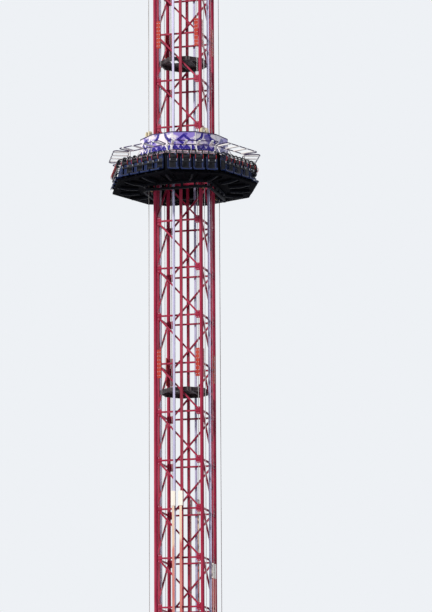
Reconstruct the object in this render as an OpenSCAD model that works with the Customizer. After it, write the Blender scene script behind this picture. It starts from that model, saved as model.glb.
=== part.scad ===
// Drop tower ride with a ring car, as a 1:2 scale model, in millimetres.
// Every length is half of the full-size one. Z is up, and Z = 0 is the underside of the base plates.

/* [Tower] */
// Distance between the column centres, along one face
tower_side = 1300; // [1200:10:1400]
// Outside diameter of the four columns
column_d = 100; // [80:2:110]
// Wall of the column tubes
column_wall = 8; // [5:1:12]
// Height of one braced panel
panel_h = 1330; // [1250:5:1330]
// Height of the lowest horizontal above the ground
first_level_z = 340; // [335:5:380]
// Height of the lowest splice above the ground
splice_z = 8075; // [7900:5:8200]
// Levels at which the tower's lengths are spliced, from the lowest splice up
splice_levels = [6, 13, 20];
// Number of panels in the whole tower
panel_count = 25; // [24:1:25]
// Width of the horizontal and diagonal bars, seen square to a face
brace_w = 46; // [36:1:60]
// Depth of the bars, through the face
brace_t = 40; // [30:1:50]
// Thickness of the node plates between the bars
node_plate_t = 14; // [8:1:20]
// Width of the node plates at the columns
node_plate_w = 120; // [100:5:140]
// Height of the node plates at the columns
node_plate_h = 210; // [180:5:240]

/* [Base] */
// Side of the square base plate under each column
base_plate_w = 500; // [460:10:560]
// Thickness of the base plates
base_plate_t = 40; // [30:1:50]
// Radius of the anchor bolt holes
anchor_hole_r = 16; // [12:1:20]
// Spacing of the anchor bolt holes
anchor_pitch = 400; // [380:5:420]
// Height of the stiffening ribs on the base plates
rib_h = 180; // [120:5:200]

/* [Splices] */
// Height of the splice plates
splice_plate_h = 780; // [600:10:900]
// Width of the splice plates
splice_plate_w = 112; // [90:1:130]
// Thickness of the splice plates
splice_plate_t = 14; // [10:1:20]
// How far each working platform lies below its splice
platform_drop = 665; // [600:5:900]
// Thickness of the platform deck
platform_t = 14; // [10:1:20]
// Depth of the platform's edge beams
platform_beam_h = 90; // [60:5:120]

/* [Guide posts and brake fins] */
// Distance of the guide post and the guide rail from the middle of a face
post_x = 104; // [90:2:120]
// Width of the guide post on each face
post_w = 74; // [60:2:90]
// Depth of the guide post and the guide rail
post_d = 60; // [50:2:70]
// Width of the guide rail's flanges
rail_w = 56; // [40:2:70]
// Thickness of the guide rail's web and flanges
rail_t = 12; // [8:1:16]
// Gap between the lattice and the guide post, filled by the brackets
post_standoff = 24; // [16:1:30]
// Heights of the tops of the brake fins above the ground, on front and back, then on the sides
fin_top_z = [13850, 11950];
// Distance of the fins' outer faces from the tower's axis, on front and back, then on the sides
fin_reach = [866, 800];
// Height of the white lead-in at the top of each fin
fin_cap_h = 400; // [300:10:500]
// Width of the lead-in
fin_cap_w = 118; // [90:2:130]
// Width of the fin itself
fin_w = 64; // [50:2:80]
// Thickness of the fin
fin_t = 16; // [10:1:24]

/* [Ropes] */
// Diameter of the hoist ropes
rope_d = 18; // [14:1:24]
// Distance of the outer rope runs from the tower's axis
rope_r = 1120; // [1115:1:1130]
// Radius of the head sheaves, to the rope's centre line
sheave_r = 190; // [185:1:195]

/* [Ring car] */
// Height of the riders' foot level above the ground in the photographed position
car_z = 22300; // [20000:50:24000]
// Distance of the seat backs from the axis
seat_r = 1715; // [1700:5:1730]
// Seats in each straight row
seats_per_row = 4; // [4:1:4]
// Gap between neighbouring seat shells
seat_space = 60; // [50:1:80]
// Height of the seat surface above foot level
seat_h = 235; // [220:1:250]
// Depth of the seat, front to back
seat_depth = 205; // [190:1:220]
// Height of the top of the seat backs above foot level
back_top = 690; // [670:1:695]
// Thickness of the seat shells
seat_t = 58; // [40:1:64]
// How far the seat shells' side wings stand out beside the rider
wing_d = 16; // [16:1:34]
// Width of the side wings
wing_w = 24; // [16:1:30]
// How much the shell narrows on each side at head height
shoulder_in = 42; // [20:1:60]
// Height of the bottom pan above foot level
pan_z = 100; // [90:1:110]
// Thickness of the bottom pan
pan_t = 12; // [8:1:16]
// How far the pan's edge stands out past the seat backs
pan_lip = 205; // [150:5:230]
// Height of the pan's turned-up rim
rim_h = 46; // [30:1:60]
// Half width of the square hole round the tower
hole_half = 904; // [900:1:910]
// Distance of the hole's cut corners from the axis
hole_corner_r = 1180; // [1170:1:1190]

/* [Drum] */
// Distance from the axis to the corners of the drum, at its foot
drum_r = 1281; // [1265:1:1300]
// How far the drum's corners lean in towards the top
drum_taper = 28; // [0:1:40]
// Height of the drum's foot above foot level
drum_z = 915; // [900:1:930]
// Height of the drum panels
drum_h = 495; // [450:5:520]
// Thickness of the drum panels
drum_t = 12; // [8:1:16]
// Number of drum panels
drum_sides = 12; // [12:1:12]
// Width of the posts at the drum's corners
drum_post_w = 30; // [24:1:36]
// How far the roof runs in under the drum's foot
roof_lap = 37; // [30:1:45]
// Thickness of the roof panels
roof_t = 10; // [6:1:14]

/* [Canopy] */
// Height of the tube frames above foot level
canopy_z = 972; // [965:1:1000]
// How far the frames' inner tubes lie inside the seat backs
canopy_back = 128; // [120:1:135]
// Width of a frame between its inner and outer tubes
canopy_w = 446; // [420:1:460]
// Length of a frame's outer tube
canopy_l = 1410; // [1380:2:1440]
// How much shorter the inner tube is at each end
canopy_splay = 78; // [60:1:100]
// Diameter of the frame tube
canopy_d = 28; // [20:1:34]
// Radius of the frame's corners
canopy_bend = 85; // [70:1:100]
// Diameter of the posts between the frames, on the roof's corners
corner_post_d = 44; // [36:1:50]
// Diameter of the posts that carry the frames
canopy_post_d = 26; // [20:1:30]

/* [Restraints] */
// Height of the restraint shaft above foot level
shaft_z = 728; // [724:1:740]
// Diameter of the restraint shaft
shaft_d = 20; // [16:1:24]
// Outside diameter of the restraint hubs
hub_d = 38; // [34:1:42]
// Diameter of the restraint's padded tubes
arm_d = 34; // [28:1:38]

/* [Hidden] */

// Fit between pieces that rest on each other across a curved face
seat_gap = 0.3;
// Rolling gap between the guide wheels and the columns
wheel_gap = 0.4;
// Clearance between moving pieces
run_gap = 20;
// Fit between flat faces that rest on each other
fit = 0.1;
// Half the open seam between neighbouring walls and roof panels
seam = 2;
wall_t = 12;
drum_top_t = 24;
drum_deck_t = 12;
shaft_x = seat_r + 24;
// A row of seats runs the whole length of one side of the octagon
seat_pitch = 2 * seat_r * tan(22.5) / seats_per_row;
seat_w = seat_pitch - seat_space;
pan_r = seat_r + pan_lip;
canopy_in = seat_r - canopy_back;
canopy_out = canopy_in + canopy_w;
col = tower_side / 2;
bay_half = col - column_d / 2 - seat_gap;
head_z = splice_z + (panel_count - splice_levels[0]) * panel_h + 125;
rows = 8;
row_step = 360 / rows;
tower_red = "#a3223a";
steel_dark = "#20222a";
cream = "#e9dcc0";
post_y = col + brace_t / 2 + post_standoff;

// Height of level k of the tower, counted from the lowest horizontal
function level(k) = k == 0 ? first_level_z : splice_z + (k - splice_levels[0]) * panel_h;

// Places children on face i: 0 is the front (-Y), then right, back and left
module on_face(i) {
    rotate([0, 0, 90 * i]) translate([0, -col, 0]) children();
}

// Turns children's X axis to corner i, starting at the front left column
module on_corner(i) {
    rotate([0, 0, 225 + 90 * i]) children();
}

// Turns children's X axis to the middle of seat row j
module on_row(j) {
    rotate([0, 0, row_step * (j + 0.5)]) children();
}

// A flat bar between two points of a face, drawn in the face's own plane
module flat_bar(p, q, w) {
    d = q - p;
    translate(p) rotate(atan2(d[1], d[0])) translate([0, -w / 2]) square([norm(d), w]);
}

// Regular outline whose flats lie r from the centre
module flats_outline(sides, r) {
    corner = r / cos(180 / sides);
    polygon([for (i = [0 : sides - 1]) corner * [cos(360 / sides * i), sin(360 / sides * i)]]);
}

// Square with cut corners, round the tower
module hole_outline(half, corner_r) {
    cut = corner_r * sqrt(2) - half;
    polygon([[half, cut], [cut, half], [-cut, half], [-half, cut],
        [-half, -cut], [-cut, -half], [cut, -half], [half, -cut]]);
}

// Ground beams along the four faces, joined to a hub plate by a cross
module base_frame() {
    beam = 120;
    hub = 460;
    reach = col - base_plate_w / 2;
    color(tower_red) linear_extrude(beam) {
        for (i = [0 : 3]) rotate([0, 0, 90 * i])
            translate([-reach, -col - beam / 2]) square([2 * reach, beam]);
        square([beam, 2 * col], center = true);
        square([2 * col, beam], center = true);
        square(hub, center = true);
    }
}

module base_plates() {
    half = base_plate_w / 2;
    color("#5b5f66") for (i = [0 : 3]) on_corner(i) translate([col * sqrt(2), 0, 0]) rotate([0, 0, 45])
        difference() {
            translate([-half, -half, 0]) cube([base_plate_w, base_plate_w, base_plate_t]);
            for (x = [-1, 1], y = [-1, 1])
                translate([x * anchor_pitch / 2, y * anchor_pitch / 2, -1])
                    cylinder(r = anchor_hole_r, h = base_plate_t + 2, $fn = 32);
        }
}

// Four ribs round the foot of each column
module anchor_ribs() {
    rib_t = 16;
    rib_in = column_d / 2 + seat_gap;
    rib_out = base_plate_w / 2 - 20;
    color(tower_red) for (i = [0 : 3]) on_corner(i) translate([col * sqrt(2), 0, base_plate_t])
        for (a = [0 : 90 : 270]) rotate([90, 0, 45 + a]) translate([0, 0, -rib_t / 2]) linear_extrude(rib_t)
            polygon([[rib_in, 0], [rib_out, 0], [rib_out, 30], [rib_in + 50, rib_h], [rib_in, rib_h]]);
}

module column(i) {
    tube_h = head_z - base_plate_t - fit;
    color(tower_red) on_corner(i) translate([col * sqrt(2), 0, base_plate_t]) difference() {
        cylinder(d = column_d, h = tube_h, $fn = 48);
        translate([0, 0, -1]) cylinder(d = column_d - 2 * column_wall, h = tube_h + 2, $fn = 48);
    }
}

// Bars of one face: a horizontal at each level and one diagonal in each panel, down to the right
module lattice_bars() {
    bar_end = bay_half - node_plate_w / 3;
    drop = node_plate_h / 5;
    for (k = [0 : panel_count])
        flat_bar([-bay_half, level(k)], [bay_half, level(k)], brace_w);
    for (k = [0 : panel_count - 1])
        flat_bar([-bar_end, level(k + 1) - drop], [bar_end, level(k) + drop], brace_w);
}

// Node plate with cut corners where the bars meet a column, drawn to the right of the column
module node_plate() {
    cut = node_plate_w / 3;
    h = node_plate_h / 2;
    polygon([[0, -h], [node_plate_w - cut, -h], [node_plate_w, cut - h], [node_plate_w, h - cut],
        [node_plate_w - cut, h], [0, h]]);
}

module lattice_plates() {
    for (k = [0 : panel_count]) translate([0, level(k)]) {
        translate([-bay_half, 0]) node_plate();
        translate([bay_half, 0]) mirror([1, 0]) node_plate();
    }
}

module lattice(i) {
    color(tower_red) on_face(i) rotate([90, 0, 0]) {
        translate([0, 0, -brace_t / 2]) linear_extrude(brace_t) lattice_bars();
        translate([0, 0, -node_plate_t / 2]) linear_extrude(node_plate_t) lattice_plates();
    }
}

// Tall plates on both sides of each column, bolted over the splice on the outside of the lattice
module splice_plates() {
    color("#d8402f") for (k = splice_levels, i = [0 : 3], e = [-1, 1]) on_face(i)
        translate([e * (bay_half - splice_plate_w / 2) - splice_plate_w / 2,
            -brace_t / 2 - splice_plate_t, level(k) - splice_plate_h / 2])
            cube([splice_plate_w, splice_plate_t, splice_plate_h]);
}

// Working platforms inside the tower, with cut corners for the rope runs and a climbing hatch
module platforms() {
    deck_half = col - brace_t / 2 - seat_gap;
    corner_r = deck_half * sqrt(2) - 260;
    color("#3a2330") for (k = splice_levels) translate([0, 0, level(k) - platform_drop]) {
        linear_extrude(platform_t) difference() {
            hole_outline(deck_half, corner_r);
            translate([-350, -300]) square([300, 300]);
        }
        translate([0, 0, -platform_beam_h]) linear_extrude(platform_beam_h) {
            difference() {
                hole_outline(deck_half, corner_r);
                hole_outline(deck_half - 50, corner_r - 50);
            }
            for (x = [-40, 300]) translate([x, -deck_half + 20]) square([40, 2 * deck_half - 40]);
        }
    }
}

rail_foot = first_level_z - 100;
rail_top = level(panel_count) + 80;
fin_back = post_y + post_d;

// Box post on the right of each face's middle, outside the lattice
module guide_posts() {
    color(tower_red) for (i = [0 : 3]) rotate([0, 0, 90 * i])
        translate([post_x - post_w / 2, -fin_back, rail_foot]) cube([post_w, post_d, rail_top - rail_foot]);
}

// White I-section rail on the left of each face's middle
module guide_rails() {
    color("#e9e6f2") for (i = [0 : 3]) rotate([0, 0, 90 * i])
        translate([-post_x, -fin_back, rail_foot]) linear_extrude(rail_top - rail_foot) {
            translate([-rail_w / 2, 0]) square([rail_w, rail_t]);
            translate([-rail_w / 2, post_d - rail_t]) square([rail_w, rail_t]);
            translate([-rail_t / 2, 0]) square([rail_t, post_d]);
        }
}

// Blocks between the lattice and the posts, and between the posts and the fins
module post_brackets() {
    bracket_h = 36;
    bracket_w = 50;
    color(steel_dark) for (i = [0 : 3], s = [-1, 1]) rotate([0, 0, 90 * i]) {
        for (k = [0 : panel_count])
            translate([s * post_x - bracket_w / 2, -post_y, level(k) - bracket_h / 2])
                cube([bracket_w, post_standoff, bracket_h]);
        for (z = [level(1) : panel_h : fin_top_z[i % 2] - fin_cap_h])
            translate([s * post_x - bracket_w / 2, -fin_reach[i % 2] + fin_t, z - bracket_h / 2])
                cube([bracket_w, fin_reach[i % 2] - fin_t - fin_back, bracket_h]);
    }
}

// Two brake fins on each face, in line with the post and the rail
module brake_fins() {
    color("#b9b1a4") for (i = [0 : 3], s = [-1, 1]) rotate([0, 0, 90 * i])
        translate([s * post_x - fin_w / 2, -fin_reach[i % 2], rail_foot])
            cube([fin_w, fin_t, fin_top_z[i % 2] - fin_cap_h - rail_foot]);
}

// Wider lead-ins at the tops of the fins
module fin_caps() {
    cap_t = 40;
    chamfer = 14;
    w = fin_cap_w / 2;
    color("#f4f1e6") for (i = [0 : 3], s = [-1, 1]) rotate([0, 0, 90 * i])
        translate([s * post_x, -fin_reach[i % 2] + fin_t / 2 + cap_t / 2, fin_top_z[i % 2] - fin_cap_h])
            rotate([90, 0, 0]) linear_extrude(cap_t) polygon([[-w, 0], [w, 0], [w, fin_cap_h - chamfer],
                [w - chamfer, fin_cap_h], [-w + chamfer, fin_cap_h], [-w, fin_cap_h - chamfer]]);
}

// Each rope is one loop: up outside its column, over the head sheave and down inside it
module hoist_ropes() {
    rope_top = head_z + 420;
    rope_foot = base_plate_t + 60;
    color("#d9d4cf") for (i = [0 : 3]) on_corner(i) {
        for (r = [rope_r, rope_r - 2 * sheave_r])
            translate([r, 0, rope_foot]) cylinder(d = rope_d, h = rope_top - rope_foot, $fn = 16);
        translate([rope_r - sheave_r, 0, rope_top]) rotate([90, 0, 0])
            rotate_extrude(angle = 180, $fn = 48) translate([sheave_r, 0]) circle(d = rope_d, $fn = 16);
    }
}

module rope_anchors() {
    anchor_w = 56;
    color(steel_dark) for (i = [0 : 3], r = [rope_r, rope_r - 2 * sheave_r]) on_corner(i)
        translate([r - anchor_w / 2, -anchor_w / 2, base_plate_t]) cube([anchor_w, anchor_w, 60]);
}

// Square of beams that closes the tower's top
beam_h = 140;
beam_w = 90;

module head_beams() {
    outer = col + 70;
    color(tower_red) translate([0, 0, head_z]) linear_extrude(beam_h) difference() {
        union() {
            difference() {
                square(2 * outer, center = true);
                square(2 * outer - 4 * beam_w, center = true);
            }
            square([2 * outer, beam_w], center = true);
            square([beam_w, 2 * outer], center = true);
        }
        for (i = [0 : 3]) on_corner(i) translate([rope_r - 2 * sheave_r, 0]) circle(d = 60, $fn = 24);
    }
}

module head_deck() {
    color("#4a4e55") translate([0, 0, head_z + beam_h]) linear_extrude(platform_t) difference() {
        square(2 * col + 140, center = true);
        for (i = [0 : 3]) on_corner(i) translate([rope_r - 2 * sheave_r, 0]) circle(d = 60, $fn = 24);
        translate([-350, -300]) square([300, 300]);
    }
}

sheave_z = head_z + 420;
sheave_t = 34;

// Grooved wheels over which the ropes turn
module head_sheaves() {
    rim = sheave_r - rope_d / 2 - seat_gap;
    color("#c9a24a") for (i = [0 : 3]) on_corner(i)
        translate([rope_r - sheave_r, 0, sheave_z]) rotate([90, 0, 0]) difference() {
            translate([0, 0, -sheave_t / 2]) cylinder(r = rim, h = sheave_t, $fn = 48);
            for (a = [0 : 60 : 300]) rotate([0, 0, a]) translate([rim * 0.55, 0, -sheave_t])
                cylinder(r = 34, h = 2 * sheave_t, $fn = 24);
            translate([0, 0, -sheave_t]) cylinder(r = 20, h = 2 * sheave_t, $fn = 24);
        }
}

// Pairs of cheek plates with the sheave axle between them
module sheave_brackets() {
    cheek_t = 16;
    deck_top = head_z + beam_h + platform_t;
    color(tower_red) for (i = [0 : 3]) on_corner(i) translate([rope_r - sheave_r, 0, 0]) {
        for (s = [-1, 1]) translate([0, s * (sheave_t / 2 + 6 + cheek_t / 2), 0]) rotate([90, 0, 0])
            translate([0, 0, -cheek_t / 2]) linear_extrude(cheek_t)
                polygon([[-110, deck_top], [60, deck_top], [34, sheave_z + 30], [-34, sheave_z + 30]]);
        translate([0, 0, sheave_z]) rotate([90, 0, 0])
            cylinder(r = 20 - seat_gap, h = sheave_t + 20, center = true, $fn = 24);
    }
}

// Guard rail round the head deck
module head_railing() {
    rail_h = 520;
    rail_d = 22;
    reach = col + 50;
    half_l = col - 250;
    deck_top = head_z + beam_h + platform_t;
    color("#d9b23a") translate([0, 0, deck_top]) for (i = [0 : 3]) rotate([0, 0, 90 * i]) {
        for (x = [rail_d - half_l, 0, half_l - rail_d]) translate([x, -reach, 0])
            cylinder(d = rail_d, h = rail_h, $fn = 12);
        for (z = [rail_h / 2, rail_h]) translate([-half_l, -reach, z]) rotate([0, 90, 0])
            cylinder(d = rail_d, h = 2 * half_l, $fn = 12);
    }
}

// Two square rings round the tower, joined by posts
module guide_frame() {
    ring_w = 60;
    frame_top = pan_z;
    frame_foot = -110;
    color(steel_dark) translate([0, 0, car_z]) {
        for (z = [frame_foot, frame_top - 60]) translate([0, 0, z]) linear_extrude(60) difference() {
            hole_outline(hole_half + ring_w, hole_corner_r + ring_w);
            hole_outline(hole_half, hole_corner_r);
        }
        for (i = [0 : 3], x = [-560, -190, 190, 560]) rotate([0, 0, 90 * i])
            translate([x - 25, hole_half + 5, frame_foot + 30]) cube([50, 50, frame_top - frame_foot - 60]);
    }
}

wheel_r = 55;
wheel_w = 56;
fork_h = 72;
wheel_x = col * sqrt(2) + column_d / 2 + wheel_gap + wheel_r;
// Heights of the wheels above foot level, just under the frame's top and the drum's deck
wheel_levels = [-40, drum_z - fork_h / 2 - fit];

// Guide wheels that roll on the columns, two to a corner
module guide_wheels() {
    color("#3b3d42") for (i = [0 : 3], z = wheel_levels) on_corner(i)
        translate([wheel_x, 0, car_z + z]) rotate([90, 0, 0]) difference() {
            cylinder(r = wheel_r, h = wheel_w, center = true, $fn = 48);
            cylinder(r = 16, h = wheel_w + 2, center = true, $fn = 24);
        }
}

// Forks that carry the guide wheels from the frame below and from the drum deck above
module wheel_brackets() {
    plate_t = 14;
    side = wheel_w / 2 + 5;
    fork_in = wheel_x - fork_h / 2;
    color(steel_dark) for (i = [0 : 3], z = wheel_levels) on_corner(i) translate([0, 0, car_z + z]) {
        for (s = [-1, 1]) translate([fork_in, s * (side + plate_t / 2) - plate_t / 2, -fork_h / 2])
            cube([hole_corner_r + (z > 0 ? 60 : -fit) - fork_in, plate_t, fork_h]);
        translate([wheel_x, 0, 0]) rotate([90, 0, 0])
            cylinder(r = 16 - seat_gap, h = 2 * side + plate_t, center = true, $fn = 24);
    }
}

module radial_beams() {
    beam_in = hole_corner_r + 110;
    radial_w = 50;
    radial_h = 70;
    tip_h = 30;
    beam_out = pan_r - 60;
    color(steel_dark) translate([0, 0, car_z + pan_z - fit]) for (a = [0 : row_step / 2 : 360 - row_step / 2])
        rotate([0, 0, a]) rotate([90, 0, 0]) linear_extrude(radial_w, center = true)
            polygon([[beam_in, 0], [beam_in, -radial_h], [beam_out - 260, -radial_h],
                [beam_out, -tip_h], [beam_out, 0]]);
}

// Flat floor under the seats, with the hole round the tower and a turned-up rim
module bottom_pan() {
    rim_t = 10;
    color("#101116") translate([0, 0, car_z + pan_z]) {
        linear_extrude(pan_t) difference() {
            flats_outline(rows, pan_r);
            hole_outline(hole_half, hole_corner_r);
        }
        linear_extrude(rim_h) difference() {
            flats_outline(rows, pan_r);
            flats_outline(rows, pan_r - rim_t);
        }
    }
}

// Walls behind the seats, one to a row
module row_walls() {
    wall_foot = pan_z + pan_t;
    half = (seat_r - wall_t) * tan(row_step / 2) - seam;
    color("#8a6f7a") translate([0, 0, car_z + wall_foot]) for (j = [0 : rows - 1]) on_row(j)
        translate([seat_r - wall_t, -half, 0]) cube([wall_t, 2 * half, back_top - wall_foot]);
}

// The roof's lower edge stands on the row walls, and its upper edge lies under the drum's foot
roof_out = seat_r - wall_t;
roof_in = drum_r * cos(180 / drum_sides) - roof_lap;
roof_top_z = drum_z - 2;
roof_slope = (roof_top_z - back_top - roof_t) / (roof_out - roof_in);
// Height of the roof's upper face at a distance from the axis, square to a row
function roof_z(r) = back_top + roof_t + (roof_out - r) * roof_slope;

// Sloping roof panels from the seat backs up to the drum's foot
module skirt_panels() {
    edge = seat_r * tan(row_step / 2) - 2 * seam;
    color("#9a7f88") translate([0, 0, car_z]) for (j = [0 : rows - 1]) on_row(j) intersection() {
        rotate([90, 0, 0]) linear_extrude(2 * seat_r, center = true)
            polygon([[roof_out, back_top + fit], [roof_out, roof_z(roof_out)], [roof_in, roof_z(roof_in)],
                [roof_in, roof_z(roof_in) - roof_t + fit]]);
        linear_extrude(drum_z + 100)
            polygon([[2 * seam / sin(row_step / 2), 0], [seat_r, edge], [seat_r, -edge]]);
    }
}

// Ring deck that closes the drum's foot
module drum_deck() {
    color("#3a3c44") translate([0, 0, car_z + drum_z]) linear_extrude(drum_deck_t) difference() {
        circle(r = drum_r, $fn = drum_sides);
        hole_outline(hole_half, hole_corner_r);
    }
}

// Heights of the drum's panels above their foot, with a fit under the top plate
panel_foot_z = drum_z + drum_deck_t + fit;
panel_rise = drum_h - 2 * fit;
post_inset = 14;

// One flat leaning panel between two corner posts, its ends parallel to the posts' sides
module drum_panel() {
    half_a = 180 / drum_sides;
    foot = drum_r * cos(half_a) - drum_t - 6;
    lean = drum_taper * cos(half_a);
    clear = drum_post_w / 2 + 2;
    apex = clear / sin(half_a);
    edge = (drum_r - apex) * tan(half_a);
    intersection() {
        rotate([90, 0, 0]) linear_extrude(drum_r, center = true)
            polygon([[foot, 0], [foot + drum_t, 0], [foot + drum_t - lean, panel_rise],
                [foot - lean, panel_rise]]);
        linear_extrude(drum_h) polygon([[apex, 0], [drum_r, edge], [drum_r, -edge]]);
    }
}

module drum_panels() {
    color("#c9b6e6") translate([0, 0, car_z + panel_foot_z]) for (i = [0 : drum_sides - 1])
        rotate([0, 0, 360 / drum_sides * (i + 0.5)]) drum_panel();
}

module drum_posts() {
    out = drum_r - post_inset;
    color("#efe9f2") translate([0, 0, car_z + panel_foot_z]) for (i = [0 : drum_sides - 1])
        rotate([0, 0, 360 / drum_sides * i]) rotate([90, 0, 0]) linear_extrude(drum_post_w, center = true)
            polygon([[out - drum_post_w, 0], [out, 0], [out - drum_taper, panel_rise],
                [out - drum_post_w - drum_taper, panel_rise]]);
}

// Plate that closes the drum's top, with holes for the ropes and a rim that hides the panels' edges
module drum_top() {
    throat = hole_corner_r - 150;
    color("#6a5a8c") translate([0, 0, car_z + drum_z + drum_deck_t + drum_h]) linear_extrude(drum_top_t)
        difference() {
            circle(r = drum_r - drum_taper, $fn = drum_sides);
            hole_outline(hole_half, throat);
            for (i = [0 : 3]) on_corner(i) translate([rope_r, 0]) circle(d = rope_d + 2 * run_gap, $fn = 32);
        }
}

// Cream catch brackets on top of the drum, each a pair of cheeks round the hole for its rope
module catch_blocks() {
    z = drum_z + drum_deck_t + drum_h + drum_top_t + fit;
    catch_w = 220;
    catch_d = 100;
    catch_h = 150;
    foot_t = 26;
    half = catch_w / 2;
    slot = half - 62;
    color(cream) for (i = [0 : 3]) on_corner(i) translate([rope_r, 0, car_z + z]) difference() {
        rotate([90, 0, 90]) linear_extrude(catch_d, center = true)
            polygon([[-half, 0], [half, 0], [half, catch_h - 40], [half - 30, catch_h], [slot, catch_h],
                [slot, foot_t], [-slot, foot_t], [-slot, catch_h], [30 - half, catch_h],
                [-half, catch_h - 40]]);
        translate([0, 0, -1]) cylinder(d = rope_d + 2 * run_gap, h = foot_t + 2, $fn = 32);
    }
}

// Post from the roof up to the inner tube, behind the middle of each row
module canopy_posts() {
    foot = roof_z(canopy_in - canopy_post_d / 2) + seat_gap;
    color("#efe6d8") for (j = [0 : rows - 1]) on_row(j) translate([canopy_in, 0, car_z + foot])
        cylinder(d = canopy_post_d, h = canopy_z - canopy_d / 2 - foot - seat_gap, $fn = 16);
}

// White posts on the roof's corners, between the tube frames
module corner_posts() {
    // The post meets the roof panels at the edges of the seam between them
    rest_r = canopy_in - corner_post_d / 2 * cos(row_step / 2) + 2 * seam * sin(row_step / 2);
    foot = roof_z(rest_r) + seat_gap;
    color("#fbfaf6") for (j = [0 : rows - 1]) rotate([0, 0, row_step * j])
        translate([canopy_in / cos(row_step / 2), 0, car_z + foot])
            cylinder(d = corner_post_d, h = canopy_z - foot, $fn = 24);
}

// Direction of side i of the closed outline p
function side_unit(p, i) = let (v = p[(i + 1) % len(p)] - p[i % len(p)]) v / norm(v);

// The closed outline p with every corner rounded to radius b in a number of steps
function rounded(p, b, steps) = let (n = len(p)) [for (i = [0 : n - 1], k = [0 : steps])
    let (u = side_unit(p, i + n - 1), turn = acos(u * side_unit(p, i)), a = atan2(u[1], u[0]),
        c = a + turn * k / steps)
        p[i] - u * b * tan(turn / 2) + b * [sin(c) - sin(a), cos(a) - cos(c)]];

// Round tube of diameter d along a closed flat path, mitred at each of its points
module closed_tube(path, d) {
    n = len(path);
    sides = 12;
    left = [for (i = [0 : n - 1]) let (u = side_unit(path, i)) [-u[1], u[0]]];
    mitre = [for (i = [0 : n - 1]) let (a = left[(i + n - 1) % n], b = left[i]) (a + b) / (1 + a * b)];
    points = [for (i = [0 : n - 1], k = [0 : sides - 1])
        let (a = 360 * k / sides, q = path[i] + mitre[i] * d / 2 * cos(a)) [q[0], q[1], d / 2 * sin(a)]];
    faces = [for (i = [0 : n - 1], k = [0 : sides - 1]) let (j = (i + 1) % n, m = (k + 1) % sides)
        [i * sides + k, j * sides + k, j * sides + m, i * sides + m]];
    polyhedron(points, faces);
}

// One frame over each row of seats, wider at its outer tube
module canopy_frames() {
    y_in = canopy_l / 2 - canopy_splay;
    y_out = canopy_l / 2;
    corners = [[canopy_in, -y_in], [canopy_out, -y_out], [canopy_out, y_out], [canopy_in, y_in]];
    color("#4a3a5c") translate([0, 0, car_z + canopy_z]) for (j = [0 : rows - 1]) on_row(j)
        closed_tube(rounded(corners, canopy_bend, 6), canopy_d);
}

function seat_y(i) = (i - (seats_per_row - 1) / 2) * seat_pitch;

// White bars across each frame, one over each seat
module canopy_bars() {
    bar_w = 36;
    inset = canopy_d / 2 + seat_gap;
    color("#f6f2ea") translate([0, 0, car_z + canopy_z - 10])
        for (j = [0 : rows - 1], i = [0 : seats_per_row - 1]) on_row(j)
            translate([canopy_in + inset, seat_y(i) - bar_w / 2, 0])
                cube([canopy_out - canopy_in - 2 * inset, bar_w, 20]);
}

// Places children at every seat: X points out from the row's wall, Y along it, Z up
module on_seats() {
    translate([0, 0, car_z]) for (j = [0 : rows - 1], i = [0 : seats_per_row - 1]) on_row(j)
        translate([seat_r, seat_y(i), 0]) children();
}

// Height of the seat pans' sides above the seat
pan_side = 13;

// Bucket backs on the pans, with wings at their sides and narrowed shoulders at the top
module seat_backs() {
    foot = seat_h + pan_side + fit;
    neck = back_top - 150;
    w = seat_w / 2;
    wing = seat_t + wing_d;
    crown = w - shoulder_in - 40;
    hollow = seat_t - 14;
    color("#23305c") on_seats() intersection() {
        rotate([90, 0, 90]) linear_extrude(wing)
            polygon([[-w, foot], [w, foot], [w, neck], [crown + 40, back_top - 40], [crown, back_top],
                [-crown, back_top], [-crown - 40, back_top - 40], [-w, neck]]);
        rotate([90, 0, 0]) linear_extrude(seat_w, center = true)
            polygon([[seat_gap, foot], [wing, foot], [wing, foot + 90], [wing - 8, neck],
                [hollow + 6, back_top], [seat_gap, back_top]]);
        linear_extrude(back_top)
            polygon([[seat_gap, -w], [wing, -w], [wing, wing_w - w], [hollow, 2 * wing_w - w],
                [hollow, w - 2 * wing_w], [wing, w - wing_w], [wing, w], [seat_gap, w]]);
    }
}

// Seat pans on the wall: a waterfall front edge, raised sides and a hollow for the thighs
module seat_pans() {
    front = seat_t + 12 + seat_depth;
    under = seat_h - 60;
    side = seat_h + pan_side;
    hollow = seat_h - 8;
    w = seat_w / 2;
    color("#23305c") on_seats() intersection() {
        rotate([90, 0, 0]) linear_extrude(seat_w, center = true)
            polygon([[seat_gap, under], [front - 30, under + 12], [front, under + 35],
                [front - 4, side - 14], [front - 22, side], [seat_gap, side]]);
        rotate([90, 0, 90]) linear_extrude(front)
            polygon([[10 - w, under], [w - 10, under], [w, under + 20], [w, side], [w - wing_w, side],
                [w - 2 * wing_w, hollow], [2 * wing_w - w, hollow], [wing_w - w, side], [-w, side],
                [-w, under + 20]]);
    }
}

bracket_t = 16;
// Just outside the last seat of a row, where the wall still backs the plate
end_bracket_y = (seats_per_row * seat_pitch - seat_space + bracket_t) / 2 + 2;
// Bracket i of a row: at an end, or between two seats
function bracket_y(i) = let (d = i - seats_per_row / 2)
    abs(d) < seats_per_row / 2 ? d * seat_pitch : sign(d) * end_bracket_y;

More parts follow.
